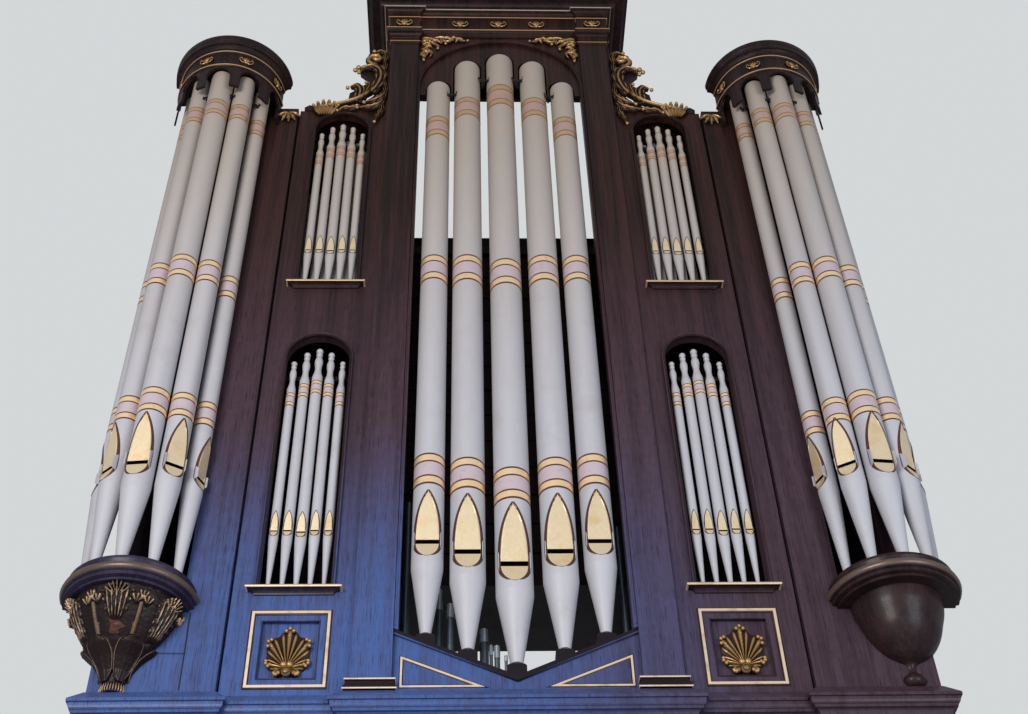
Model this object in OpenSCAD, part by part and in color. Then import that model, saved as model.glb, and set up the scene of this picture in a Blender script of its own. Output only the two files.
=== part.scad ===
// Pipe organ: a mahogany case with a round-headed centre tower, two pairs of
// arched flats, and a half-round tower on a corbel at each end.
// Origin on the floor, on the centre line, in the plane of the case front.
// X runs to the right, Y into the case, Z up. All sizes in millimetres.

/* [Case] */
// Height of the top of the impost moulding above the floor
impost_z = 2100; // [1800:10:2600]
// Half width of the case front
front_half_w = 1777; // [1700:1:1850]
// Thickness of the front boards
board_t = 40; // [25:1:50]
// Depth of the case from front boards to back
case_depth = 1400; // [1200:10:1800]
// Distance from the centre line to the joint between flat and end boards
joint_x = 1250; // [1200:1:1300]
// Step forward of the end boards
end_step = 18; // [5:1:30]
// Thickness of the side walls
side_t = 40; // [25:1:50]
// Height of the plinth
plinth_h = 200; // [120:5:260]
// Projection of the plinth
plinth_out = 25; // [10:1:40]
// Height of the impost moulding
impost_h = 160; // [140:1:200]

/* [Lower case] */
// Width of the frame members of the lower case
lower_stile = 110; // [80:1:130]
// Height of the lower row of panels
dado_h = 560; // [450:10:650]
// Thickness of a fielded panel
panel_t = 16; // [10:1:20]

/* [Centre tower] */
// Half width of the pipe opening
open_half_w = 507; // [500:1:515]
// Width of the moulding round the opening
jamb_w = 20; // [12:1:26]
// Projection of the moulding round the opening
jamb_out = 20; // [10:1:25]
// Width of a pilaster
pil_w = 175; // [150:1:190]
// Projection of a pilaster
pil_out = 30; // [20:1:40]
// Width of the stile outside each pilaster
tower_stile = 23; // [15:1:30]
// Height of the centre of the round head above the top edge of the flats
arch_rise = 256; // [230:1:280]
// Height of the front over the crown of the round head
arch_crown = 78; // [60:1:90]
// Height of the frieze
frieze_h = 170; // [150:1:190]
// Height of the architrave moulding
archit_h = 55; // [45:1:65]
// Height of the bed moulding above the frieze
bed_h = 60; // [50:1:70]
// Height of the cornice
cornice_h = 185; // [160:1:220]
// Projection of the cornice
cornice_out = 170; // [140:1:200]
// Depth of the centre tower above the flats
tower_depth = 700; // [500:10:900]
// Height of the lowest point of the V sill above the impost
vee_z = 82; // [70:1:95]
// Rise of the V sill from its centre to the jamb
vee_rise = 235; // [200:1:260]
// Thickness of the capping on the V sill
cap_t = 24; // [15:1:30]

/* [Flats] */
// Distance from the centre line to the middle of a flat
flat_x = 970; // [965:1:980]
// Half width of a flat's arched opening
flat_r = 160; // [158:1:165]
// Width of the moulding round a flat's opening
flat_bead = 18; // [12:1:20]
// Height of the lower sill above the impost
sill_lo = 531; // [510:1:560]
// Height of the centre of the lower arch above its sill
flat_h_lo = 1441; // [1410:1:1460]
// Height of the upper sill above the centre of the lower arch
flat_gap = 561; // [540:1:600]
// Height of the centre of the upper arch above its sill
flat_h_hi = 1409; // [1380:1:1430]
// Height of the top edge of the flats above the centre of the upper arch
top_rail = 202; // [195:1:230]
// Half length of a sill
sill_half = 210; // [200:1:220]
// Height of a sill moulding
sill_h = 30; // [24:1:40]
// Projection of a sill moulding
sill_out = 45; // [30:1:60]
// Half height of the carved shell in a square panel
shell_size = 88; // [70:1:100]

/* [End towers] */
// Distance from the axis of an end tower to the end of the case
tower_inset = 105; // [95:1:115]
// Radius of the ring that the tower pipes stand on
ring_r = 218; // [214:1:224]
// Angle between neighbouring tower pipes
ring_step = 36; // [35:0.5:37]
// Turn of the ring of pipes away from straight ahead
ring_turn = 5; // [0:1:6]
// Radius of the crown at its gilt lines
crown_r = 322; // [315:1:330]
// Height of the lower edge of the crown above the top edge of the flats
crown_lift = 16; // [10:1:50]
// Height of the crown
crown_h = 260; // [220:1:300]
// Projection of the crown's cornice
crown_out = 42; // [30:1:50]
// Drop of the pipe shade below the crown
shade_drop = 190; // [150:1:220]
// Radius of the corbel's rim
rim_r = 296; // [290:1:305]
// Height of the top of the corbel above the impost
rim_z = 515; // [490:1:530]

/* [Pipes] */
// Diameter of the middle pipe of the centre tower
big_d = 170; // [160:1:174]
// Diameter of its neighbours
mid_d = 162; // [150:1:166]
// Diameter of the outer pipes of the centre tower
out_d = 146; // [135:1:150]
// Spacing of the centre pipes
pipe_pitch = 198; // [194:1:200]
// Height of the top of the middle pipe above the centre of the round head
big_rise = 286; // [270:1:300]
// Diameter of the front pipe of an end tower
tower_d = 135; // [128:1:138]
// Diameter of the middle pipe of a flat
flat_d = 53; // [48:1:55]
// Spacing of the pipes in a flat
flat_pitch = 62; // [60:1:63]
// Width of a pipe's foot at the toe, as a share of its diameter
toe_share = 0.32; // [0.28:0.01:0.4]
// Half width of a mouth, as a share of the pipe's radius
mouth_share = 0.8; // [0.7:0.01:0.82]
// Depth to which a mouth is pressed in, as a share of the pipe's radius
mouth_press = 0.36; // [0.2:0.01:0.4]
// Height of the mouths of an end tower above its corbel
tower_foot = 525; // [500:5:550]
// Height of the mouths of the lower flats above the toes
flat_foot_lo = 322; // [300:2:340]
// Height of the mouths of the upper flats above the toes
flat_foot_hi = 292; // [270:2:310]

/* [Hidden] */
$fn = 64;
eps = 1;
wood = "#3b1f1b";
dark_wood = "#241412";
gilt = "#b98a35";
paint = "#a8a2a6";
tin = "#5a6b78";
arch_lo = sill_lo + flat_h_lo;
sill_hi = arch_lo + flat_gap;
arch_hi = sill_hi + flat_h_hi;
flat_top = arch_hi + top_rail;
arch_z = flat_top + arch_rise;
entab_z = arch_z + open_half_w + arch_crown;
big_top = arch_z + big_rise;
crown_z = flat_top + crown_lift;
tower_x = front_half_w - tower_inset;
arch_r = open_half_w;
pil_x0 = open_half_w + jamb_w;
pil_x1 = pil_x0 + pil_w;
centre_half_w = pil_x1 + tower_stile;
frieze_z = entab_z + archit_h;
bed_z = frieze_z + frieze_h;
cornice_z = bed_z + bed_h;
cap_z = entab_z - 110;
lower_top = impost_z - impost_h;
back_y = case_depth;
side_x0 = front_half_w - side_t;
end_back = board_t - end_step;

// Raises the upper case on to the impost.
module lift() {
    translate([0, 0, impost_z]) children();
}

// Stands a drawing in X and Z upright, from front y0 back to y1.
module upright(y0, y1) {
    translate([0, y1, 0]) rotate([90, 0, 0]) linear_extrude(y1 - y0) children();
}

module on_side(s) {
    mirror([s < 0 ? 1 : 0, 0, 0]) children();
}

module both_sides() {
    for (s = [-1, 1]) on_side(s) children();
}

// A moulding that goes round the front and both ends of a block.
// profile lists [projection, height] from the bottom up.
module moulded_block(x0, x1, front, back, profile) {
    n = len(profile);
    intersection() {
        upright(front - 500, back)
            polygon(concat(
                [for (q = profile) [x1 + q[0], q[1]]],
                [for (i = [n - 1:-1:0]) [x0 - profile[i][0], profile[i][1]]]));
        translate([x0 - 500, 0, 0]) rotate([90, 0, 90]) linear_extrude(x1 - x0 + 1000)
            polygon(concat(
                [for (q = profile) [front - q[0], q[1]]],
                [[back, profile[n - 1][1]], [back, profile[0][1]]]));
    }
}

// Points of a quarter-round, from [p0, z0] to [p1, z1]; bulge 1 is convex, -1 hollow.
function quarter(p0, z0, p1, z1, bulge, n = 4) = [
    for (i = [0:n])
        let (a = 90 * i / n,
             s = bulge > 0 ? sin(a) : 1 - cos(a),
             c = bulge > 0 ? 1 - cos(a) : sin(a))
        [p0 + (p1 - p0) * s, z0 + (z1 - z0) * c]];

module plinth() {
    color(dark_wood) difference() {
        moulded_block(-front_half_w, front_half_w, 0, back_y, [
            [plinth_out, 0], [plinth_out, plinth_h - 30],
            [plinth_out - 14, plinth_h - 12], [plinth_out - 14, plinth_h]]);
        translate([-side_x0, board_t, -eps])
            cube([2 * side_x0, back_y, plinth_h + 2 * eps]);
    }
}

// Edges of the bays of the lower case, right half, from the centre outwards.
centre_bay = 2 * centre_half_w / 3;
bay_edges = [-centre_half_w, -centre_bay / 2, centre_bay / 2, centre_half_w, joint_x];
lower_z0 = plinth_h;
rail_z = lower_z0 + lower_stile + dado_h;
panel_rows = [[lower_z0 + lower_stile, rail_z], [rail_z + lower_stile, lower_top - lower_stile]];
half = lower_stile / 2;
panel_cols = [
    [-front_half_w + lower_stile, -joint_x - half], [-joint_x + half, -centre_half_w - half],
    [-centre_half_w + half, -centre_bay / 2 - half], [-centre_bay / 2 + half, centre_bay / 2 - half],
    [centre_bay / 2 + half, centre_half_w - half], [centre_half_w + half, joint_x - half],
    [joint_x + half, front_half_w - lower_stile]];

module lower_front() {
    color(wood) upright(0, board_t) difference() {
        translate([-front_half_w, plinth_h]) square([2 * front_half_w, lower_top - plinth_h]);
        for (c = panel_cols, r = panel_rows)
            translate([c[0], r[0]]) square([c[1] - c[0], r[1] - r[0]]);
    }
}

module fielded_panel(x0, z0, x1, z1, y) {
    field = 45;
    translate([x0, y, z0]) cube([x1 - x0, panel_t, z1 - z0]);
    translate([x0 + field, y - panel_t / 2, z0 + field])
        cube([x1 - x0 - 2 * field, panel_t, z1 - z0 - 2 * field]);
}

module lower_panels() {
    color(wood) for (c = panel_cols, r = panel_rows)
        fielded_panel(c[0], r[0], c[1], r[1], board_t / 2);
}

impost_out = 45;
impost_break = 35;
impost_slope = 56;
impost_profile = concat(
    [[8, -impost_h], [8, -impost_h + 18]],
    quarter(8, -impost_h + 24, impost_out * 0.6, -impost_h + 48, -1),
    [[impost_out * 0.7, -impost_h + 48], [impost_out * 0.7, -impost_h + 56]],
    quarter(impost_out * 0.75, -impost_h + 60, impost_out, -impost_h + 84, 1),
    [[impost_out, -impost_slope - 14], [impost_out + 8, -impost_slope - 14],
        [impost_out + 8, -impost_slope], [2, 0]]);

module impost() {
    color(wood) lift() difference() {
        union() {
            moulded_block(-front_half_w, front_half_w, 0, back_y, impost_profile);
            both_sides() moulded_block(joint_x - 5, front_half_w, -impost_break, back_y, impost_profile);
            moulded_block(-centre_half_w, centre_half_w, -impost_break, board_t, impost_profile);
        }
        translate([-side_x0, board_t, -impost_h - eps])
            cube([2 * side_x0, back_y, impost_h + 2 * eps]);
    }
}

module side_wall() {
    rail = lower_stile;
    pitch = (flat_top - rail) / 3;
    rows = concat(panel_rows, [for (i = [0:2])
        [impost_z + rail + i * pitch, impost_z + (i + 1) * pitch]]);
    mid_y = (board_t + back_y) / 2;
    cols = [[board_t + rail, mid_y - rail / 2], [mid_y + rail / 2, back_y - rail]];
    difference() {
        union() {
            translate([side_x0, board_t, plinth_h])
                cube([side_t, back_y - board_t, lower_top - plinth_h]);
            translate([side_x0, end_back, impost_z])
                cube([side_t, back_y - end_back, flat_top]);
        }
        for (r = rows, c = cols) {
            translate([front_half_w - 12, c[0], r[0]]) cube([20, c[1] - c[0], r[1] - r[0]]);
            translate([side_x0 - 8, c[0], r[0]]) cube([20, c[1] - c[0], r[1] - r[0]]);
        }
    }
}

module side_left() color(wood) on_side(-1) side_wall();
module side_right() color(wood) side_wall();

// Opening of the end boards behind the tower pipes.
end_open_x0 = tower_x - ring_r - 10;
end_open_z0 = rim_z + 10;
end_open_z1 = crown_z - 120;

module end_front() {
    lift() upright(-end_step, end_back) difference() {
        union() {
            translate([joint_x, 0]) square([front_half_w - joint_x, flat_top]);
            translate([tower_x - crown_r + 40, 0])
                square([front_half_w - tower_x + crown_r - 40, crown_z + crown_h - 40]);
        }
        translate([end_open_x0, end_open_z0])
            square([side_x0 - end_open_x0, end_open_z1 - end_open_z0]);
    }
}

module end_front_left() color(wood) on_side(-1) end_front();
module end_front_right() color(wood) end_front();

// Outline of an arched flat opening, grown by g.
module flat_opening(z0, zc, g) {
    translate([flat_x, zc]) circle(flat_r + g);
    translate([flat_x - flat_r - g, z0]) square([2 * (flat_r + g), zc - z0]);
}

ramp_r = 400;
joint_gap = 11;

module flat_front() {
    lift() upright(0, board_t) difference() {
        union() {
            translate([centre_half_w, 0]) square([joint_x - centre_half_w, flat_top]);
            difference() {
                translate([centre_half_w, flat_top - eps]) square([ramp_r, ramp_r]);
                translate([centre_half_w + ramp_r, flat_top + ramp_r]) circle(ramp_r);
            }
        }
        flat_opening(sill_lo, arch_lo, 0);
        flat_opening(sill_hi, arch_hi, 0);
        translate([panel_x0, panel_z0]) square([panel_x1 - panel_x0, panel_z1 - panel_z0]);
        translate([joint_x - joint_gap, -eps]) square([joint_gap + eps, flat_top + 2 * eps]);
    }
    lift() translate([joint_x - joint_gap - eps, board_t * 0.7, 0])
        cube([joint_gap + eps, board_t * 0.3, flat_top]);
}

module flat_front_left() color(wood) on_side(-1) flat_front();
module flat_front_right() color(wood) flat_front();

// Sill shelves under the arched openings; each is a moulded shelf on the front boards.
sill_profile = concat([[0, -sill_h]], quarter(8, -sill_h, sill_out - 8, -10, -1),
    [[sill_out, -10], [sill_out, 0]]);

shelf_t = 12;
rear_y = 110;

module flat_sills() {
    color(wood) lift() both_sides() for (z = [sill_lo, sill_hi]) translate([0, 0, z]) {
        moulded_block(flat_x - sill_half + sill_out, flat_x + sill_half - sill_out, 0, 0, sill_profile);
        translate([flat_x - flat_r, -eps, 0]) cube([2 * flat_r, board_t + 2 * eps, shelf_t]);
        translate([flat_x - flat_r - 20, board_t, 0])
            cube([2 * flat_r + 40, rear_y - board_t + 40, shelf_t]);
    }
}

module flat_arches() {
    color(dark_wood) lift() both_sides() for (f = [[sill_lo, arch_lo], [sill_hi, arch_hi]])
        upright(-14, 0) difference() {
            flat_opening(f[0], f[1], flat_bead);
            translate([0, -1]) flat_opening(f[0], f[1], 0);
            translate([flat_x - 2 * flat_r, f[0] - 100]) square([4 * flat_r, 100]);
        }
}

// Square panels under the flats and triangular panels beside the V sill.
panel_x0 = flat_x - 170;
panel_x1 = flat_x + 170;
panel_z0 = 36;
panel_z1 = sill_lo - 114;
panel_back = 15;
vee_x = pil_x0;
gilt_w = 12;
frame_w = 44;
frame_out = 7;
tri_x0 = 117;
tri_x1 = vee_x - 30;
tri_z0 = 30;
tri_z1 = 192;
tri_deep = 12;
tri_bead = 9;

// A square ring inside the edge of the square panels, from inset a to inset b.
module panel_ring(a, b) {
    difference() {
        translate([panel_x0 + a, panel_z0 + a])
            square([panel_x1 - panel_x0 - 2 * a, panel_z1 - panel_z0 - 2 * a]);
        translate([panel_x0 + b, panel_z0 + b])
            square([panel_x1 - panel_x0 - 2 * b, panel_z1 - panel_z0 - 2 * b]);
    }
}

module panel_boards() {
    color(wood) lift() both_sides() {
        upright(board_t - panel_back, board_t)
            translate([panel_x0, panel_z0]) square([panel_x1 - panel_x0, panel_z1 - panel_z0]);
        upright(4, board_t - panel_back + eps) panel_ring(gilt_w, frame_w);
    }
}

// Gilt beads round the square panels and the triangular ones.
module panel_mouldings() {
    color(gilt) lift() both_sides() {
        upright(-frame_out, board_t - panel_back) panel_ring(0, gilt_w);
        upright(-3, tri_deep) difference() {
            tri_outline(4);
            tri_outline(4 + tri_bead);
        }
    }
}

// Outline of a carved shell: ten lobes round an oval.
module shell_outline(size) {
    polygon([for (a = [0:6:354]) (size + size * 0.13 * cos(10 * a)) * [1.08 * cos(a), sin(a)]]);
}

module carved_shells() {
    color(gilt) lift() both_sides() translate([flat_x, board_t - panel_back, (panel_z0 + panel_z1) / 2])
        rotate([90, 0, 0]) {
            linear_extrude(16) shell_outline(shell_size);
            linear_extrude(30) shell_outline(shell_size * 0.62);
        }
}

pil_base_h = 62;
base_profile = concat([[23, 0], [23, 12]], quarter(20, 12, 12, 30, -1), [[12, 40], [17, 44], [17, 56], [4, pil_base_h]]);
capital_profile = concat([[0, cap_z], [10, cap_z + 6], [10, cap_z + 18], [2, cap_z + 24], [2, cap_z + 60]],
    quarter(4, cap_z + 62, 28, entab_z - 16, -1), [[34, entab_z - 16], [34, entab_z]]);

module pilaster() {
    lift() {
        translate([pil_x0, -pil_out, 0]) cube([pil_w, pil_out + board_t, entab_z]);
        moulded_block(pil_x0, pil_x1, -pil_out, -eps, base_profile);
        moulded_block(pil_x0, pil_x1, -pil_out, -eps, capital_profile);
        translate([pil_x1, 0, 0]) cube([tower_stile, board_t, entab_z]);
    }
}

module pilaster_left() color(wood) on_side(-1) pilaster();
module pilaster_right() color(wood) pilaster();

cap_out = 14;
toe_block = 84;
toe_rise = 44;

module vee_outline(drop) {
    polygon([[-vee_x, 0], [vee_x, 0], [vee_x, vee_z + vee_rise - drop], [0, vee_z - drop],
        [-vee_x, vee_z + vee_rise - drop]]);
}

module tri_outline(g) {
    slope = (tri_z1 - tri_z0) / (tri_x1 - tri_x0);
    drop = g * sqrt(1 + slope * slope);
    polygon([[tri_x0 + (g + drop) / slope, tri_z0 + g], [tri_x1 - g, tri_z0 + g],
        [tri_x1 - g, tri_z1 - drop - g * slope]]);
}

// Block under a pipe's toe, its four upper edges bevelled.
module toe_block(h) {
    w = toe_block / 2;
    c = toe_block / 6;
    intersection() {
        upright(-c * 1.4, w)
            polygon([[-w, 0], [w, 0], [w, h - c], [w - c, h], [c - w, h], [-w, h - c]]);
        translate([-w, 0, 0]) rotate([90, 0, 90]) linear_extrude(2 * w)
            polygon([[-w, 0], [w, 0], [w, h - c], [w - c, h], [-c, h], [-w, h - w]]);
    }
}

function vee_top(x) = vee_z + vee_rise * abs(x) / vee_x;

module vee_sill() {
    color(wood) lift() {
        difference() {
            upright(0, board_t) vee_outline(cap_t);
            both_sides() upright(-eps, tri_deep) difference() {
                tri_outline(0);
                tri_outline(18);
            }
        }
        upright(-cap_out, board_t + 90) difference() {
            vee_outline(0);
            translate([0, -cap_t]) vee_outline(0);
            translate([-vee_x - eps, -100]) square([2 * vee_x + 2 * eps, 100]);
        }
        difference() {
            for (i = [0:4]) translate([pipe_x[i], pipe_y, vee_top(pipe_x[i]) - 2 * cap_t])
                toe_block(toe_z[i] - vee_top(pipe_x[i]) + 2 * cap_t);
            upright(-toe_block, 2 * toe_block) vee_outline(cap_t / 2);
        }
    }
}

module arch_front() {
    color(wood) lift() upright(0, board_t) difference() {
        translate([-pil_x0, arch_z]) square([2 * pil_x0, entab_z - arch_z]);
        translate([0, arch_z]) circle(arch_r, $fn = 128);
    }
}

module opening_outline(g) {
    translate([0, arch_z]) circle(arch_r + g, $fn = 128);
    translate([-arch_r - g, 0]) square([2 * (arch_r + g), arch_z]);
}

module arch_moulding() {
    color(wood) lift() difference() {
        upright(-jamb_out, 0) difference() {
            opening_outline(jamb_w);
            opening_outline(0);
            vee_outline(0);
        }
    }
    color(wood) lift() both_sides() translate([open_half_w, 0, vee_top(pil_x0)])
        cube([jamb_w, board_t, arch_z - vee_top(pil_x0)]);
}

// Centre pipes: [x, diameter, top]
pipe_x = [-2 * pipe_pitch + 6, -pipe_pitch - 10, 0, pipe_pitch + 10, 2 * pipe_pitch - 6];
pipe_d = [out_d, mid_d, big_d, mid_d, out_d];
pipe_top = [big_top - 296, big_top - 75, big_top, big_top - 75, big_top - 296];
pipe_y = 12;
toe_z = [for (i = [0:4]) vee_top(pipe_x[i]) + toe_rise * (i == 2 ? 1.5 : 1)];
foot_share = [2.7, 2.82, 2.82, 2.82, 2.7];
shade_gap = 9;

module shade_slot(i) {
    r = pipe_d[i] / 2 + shade_gap;
    translate([pipe_x[i], pipe_top[i] + 12]) {
        circle(r);
        translate([-r, -1000]) square([2 * r, 1000]);
    }
}

module pipe_shade() {
    z1 = pipe_top[0] - 60;
    z2 = pipe_top[1] - 60;
    color(dark_wood) lift() upright(0, 22) difference() {
        intersection() {
            opening_outline(0);
            polygon([[-arch_r, z1], [pipe_x[1], z1], [0, z2], [pipe_x[3], z1], [arch_r, z1],
                [arch_r, entab_z], [-arch_r, entab_z]]);
        }
        for (i = [0:4]) shade_slot(i);
    }
}

archit_profile = [[0, entab_z], [0, entab_z + 20], [6, entab_z + 24], [6, entab_z + 40],
    [14, entab_z + 46], [14, frieze_z]];

module entablature() {
    fy = -10;
    by = -pil_out - 6;
    frieze = [[0, frieze_z - eps], [0, bed_z + eps]];
    bed = concat([[0, bed_z]], quarter(4, bed_z, 30, bed_z + 44, -1), [[34, bed_z + 44], [34, cornice_z]]);
    color(wood) lift() {
        moulded_block(-pil_x0, pil_x0, fy, board_t, archit_profile);
        moulded_block(-pil_x0, pil_x0, fy, board_t, frieze);
        moulded_block(-pil_x0, pil_x0, fy, board_t, bed);
        both_sides() for (p = [archit_profile, frieze, bed]) {
            moulded_block(pil_x0 - 4, centre_half_w, by, board_t, p);
            moulded_block(centre_half_w - 60, centre_half_w, by, tower_depth, p);
        }
    }
}

module cornice() {
    h = cornice_h;
    p = cornice_out;
    profile = concat([[40, cornice_z]], quarter(44, cornice_z, p * 0.45, cornice_z + h * 0.25, 1),
        [[p * 0.75, cornice_z + h * 0.3], [p * 0.75, cornice_z + h * 0.55]],
        quarter(p * 0.78, cornice_z + h * 0.58, p, cornice_z + h - 14, -1),
        [[p, cornice_z + h]]);
    color(dark_wood) lift() difference() {
        moulded_block(-centre_half_w, centre_half_w, -10, tower_depth, profile);
        translate([-centre_half_w, board_t, cornice_z - eps])
            cube([2 * centre_half_w, tower_depth - board_t - 25, h - 20]);
    }
}

module centre_sides() {
    color(wood) lift() both_sides()
        translate([centre_half_w - 25, board_t, flat_top - 60])
            cube([25, tower_depth - board_t, entab_z - flat_top + 60]);
}

// A flue pipe standing at the origin with its mouth towards -Y.
// toe: foot bottom, lip: bottom of the mouth, tip: point of the upper lip
module flue_pipe(d, toe, lip, slot, tip, top) {
    r = d / 2;
    w = r * mouth_share;
    pressed = -r * (1 - mouth_press);
    difference() {
        union() {
            translate([0, 0, lip - r * 0.4]) cylinder(r = r, h = top - lip + r * 0.4);
            translate([0, 0, toe]) cylinder(r1 = r * toe_share, r2 = r, h = lip - r * 0.4 - toe);
        }
        intersection() {
            upright(-2 * r, 0) mouth_leaf(w, lip, slot, tip);
            translate([-2 * r, 0, 0]) rotate([90, 0, 90]) linear_extrude(4 * r)
                polygon([[-2 * r, lip - eps], [-r, lip - eps], [pressed, slot], [-r, tip + eps], [-2 * r, tip + eps]]);
        }
        translate([-w, -2 * r, slot - r * slot_share]) cube([2 * w, 1.6 * r, 2 * r * slot_share]);
    }
}

slot_share = 0.13;

// Pointed leaf of a pipe's mouth: round below, two arcs meeting in a point above.
module mouth_leaf(w, lip, slot, tip) {
    h = tip - slot;
    big = (w * w + h * h) / (2 * w);
    intersection() {
        translate([big - w, slot]) circle(big);
        translate([w - big, slot]) circle(big);
        translate([-w, slot - eps]) square([2 * w, 2 * h]);
    }
    intersection() {
        translate([0, lip + w]) circle(w);
        translate([-w, lip]) square([2 * w, slot - lip]);
    }
    translate([-w, lip + w]) square([2 * w, slot - lip - w + eps]);
}

lip_share = 0.6;

module centre_pipe(i) {
    d = pipe_d[i];
    slot = toe_z[i] + big_d * foot_share[i];
    color(paint) lift() translate([pipe_x[i], pipe_y, 0])
        flue_pipe(d, toe_z[i], slot - d * lip_share, slot, slot + 2 * d, pipe_top[i]);
}

module centre_pipe_1() centre_pipe(0);
module centre_pipe_2() centre_pipe(1);
module centre_pipe_3() centre_pipe(2);
module centre_pipe_4() centre_pipe(3);
module centre_pipe_5() centre_pipe(4);

flat_dia = [flat_d - 9, flat_d - 4, flat_d, flat_d - 4, flat_d - 9];
flat_rise = [-92, -28, 0, -28, -92];

finial_h = 172;

// Turned finial: a hollow shoulder, a vase, a collar and a ball with a small point.
module finial(r, z) {
    shape = [[0, 0], [1, 0], [0.84, 0.1], [0.66, 0.23], [0.6, 0.36], [0.7, 0.47], [0.8, 0.58],
        [0.78, 0.69], [0.6, 0.79], [0.44, 0.86], [0.62, 0.9], [0.62, 0.94], [0.4, 0.97], [0.4, 1.06], [0, 1.06]];
    translate([0, 0, z]) rotate_extrude() polygon([for (q = shape) [q[0] * r, q[1] * finial_h]]);
    translate([0, 0, z + finial_h + r * 0.5]) sphere(r * 0.68);
    translate([0, 0, z + finial_h + r]) cylinder(r1 = r * 0.3, r2 = r * 0.08, h = r * 0.35);
}

module flat_pipes(z_sill, z_arch, foot) {
    toe = z_sill + shelf_t;
    top = z_arch + flat_r * 0.6;
    lift() for (i = [0:4]) {
        r = flat_dia[i] / 2;
        z1 = top + flat_rise[i] - finial_h - r * 1.2;
        slot = toe + foot + (i == 2 ? -6 : 4);
        translate([flat_x + (i - 2) * flat_pitch, flat_y, 0]) {
            flue_pipe(flat_dia[i], toe, slot - flat_d * lip_share, slot, slot + flat_d * 2.2, z1);
            finial(r, z1);
        }
    }
}

flat_y = 30;

module flat_pipes_lower_left() color(paint) on_side(-1) flat_pipes(sill_lo, arch_lo, flat_foot_lo);
module flat_pipes_lower_right() color(paint) flat_pipes(sill_lo, arch_lo, flat_foot_lo);
module flat_pipes_upper_left() color(paint) on_side(-1) flat_pipes(sill_hi, arch_hi, flat_foot_hi);
module flat_pipes_upper_right() color(paint) flat_pipes(sill_hi, arch_hi, flat_foot_hi);

tower_dia = [tower_d - 37, tower_d - 17, tower_d, tower_d - 17, tower_d - 37];
tower_tip = 300;

module tower_pipes() {
    lift() translate([tower_x, 0, 0]) for (i = [0:4]) {
        slot = rim_z + tower_foot + 18 * abs(i - 2);
        rotate((i - 2) * ring_step + ring_turn) translate([0, -ring_r, 0])
            flue_pipe(tower_dia[i], rim_z, slot - tower_dia[i] * lip_share, slot,
                rim_z + tower_foot + tower_tip, crown_z - 12);
    }
}

module tower_pipes_left() color(paint) on_side(-1) tower_pipes();
module tower_pipes_right() color(paint) tower_pipes();

// Turns a profile of [radius, height] half way round the tower axis, in front of the boards.
module half_turn(profile) {
    lift() translate([tower_x, 0, 0]) difference() {
        rotate_extrude($fn = 96) polygon(profile);
        translate([-600, -end_step, -500]) cube([1200, 1200, 6000]);
    }
}

module tower_crown() {
    r = crown_r;
    z = crown_z;
    half_turn(concat([[0, z], [r - 4, z], [r, z + 4], [r, z + 14], [r - 6, z + 18], [r - 6, z + 140],
        [r, z + 144], [r, z + 156]],
        quarter(r + 2, z + 160, r + crown_out - 10, z + 190, -1),
        [[r + crown_out - 6, z + 192], [r + crown_out - 6, z + 215]],
        quarter(r + crown_out - 4, z + 218, r + crown_out, z + crown_h - 8, 1),
        [[r + crown_out, z + crown_h], [0, z + crown_h]]));
}

module tower_crown_left() color(dark_wood) on_side(-1) tower_crown();
module tower_crown_right() color(dark_wood) tower_crown();

module tower_shades() {
    color(dark_wood) both_sides() difference() {
        half_turn([[crown_r - 22, crown_z - shade_drop], [crown_r - 6, crown_z - shade_drop],
            [crown_r - 6, crown_z], [crown_r - 22, crown_z]]);
        lift() translate([tower_x, 0, 0]) for (i = [0:4])
            rotate((i - 2) * ring_step + ring_turn) upright(-2 * ring_r, -ring_r / 2) {
                rr = tower_dia[i] / 2 + 4;
                translate([0, crown_z - 16 - rr]) circle(rr);
                translate([-rr, crown_z - 16 - rr - 500]) square([2 * rr, 500]);
            }
    }
}

rim_profile = concat(
    [[rim_r - 34, rim_z - 112], [rim_r - 34, rim_z - 100], [rim_r - 14, rim_z - 96], [rim_r - 14, rim_z - 78]],
    quarter(rim_r - 12, rim_z - 78, rim_r, rim_z - 55, 1), quarter(rim_r, rim_z - 55, rim_r - 18, rim_z - 34, -1),
    [[rim_r - 22, rim_z - 30], [rim_r - 16, rim_z - 12], [rim_r - 16, rim_z], [0, rim_z]]);

module corbel_left() {
    bowl = [[0, 0], [52, 0], [52, 12], [44, 18], [44, 34], [52, 40], [50, 50], [62, 90],
        [92, 140], [128, 180], [132, 194], [158, 230], [190, 280], [216, 330], [232, 375],
        [238, rim_z - 112]];
    color(dark_wood) on_side(-1) half_turn(concat(bowl, rim_profile));
}

module corbel_right() {
    ball_r = 52;
    bowl = [[0, 0], [20, 2], [ball_r - 10, 14], [ball_r, 36], [ball_r - 10, 58], [26, 72], [24, 96],
        [34, 116], [60, 130], [92, 152], [130, 195], [160, 245], [180, 300], [197, 350], [206, rim_z - 112]];
    color(wood) half_turn(concat(bowl, rim_profile));
}

// Outer edge of a scroll bracket, from its foot to its top, as steps out of the ramp's corner.
bracket_edge = [[490, 0], [492, 32], [462, 58], [430, 40], [398, 62], [364, 42], [332, 62], [300, 50],
    [262, 92], [228, 122], [222, 190], [186, 222], [160, 212], [138, 280], [104, 300], [112, 356],
    [166, 420], [172, 456], [142, 478], [118, 520], [132, 580], [122, 634], [78, 660], [20, 652], [0, 630]];

module scroll_brackets() {
    color(gilt) lift() both_sides() upright(-6, 30) difference() {
        translate([centre_half_w, flat_top])
            polygon(concat([[0, 300], [300, 0]], bracket_edge));
        translate([centre_half_w, flat_top]) difference() {
            square([ramp_r, ramp_r]);
            translate([ramp_r, ramp_r]) circle(ramp_r - 0.3);
        }
    }
}

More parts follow.
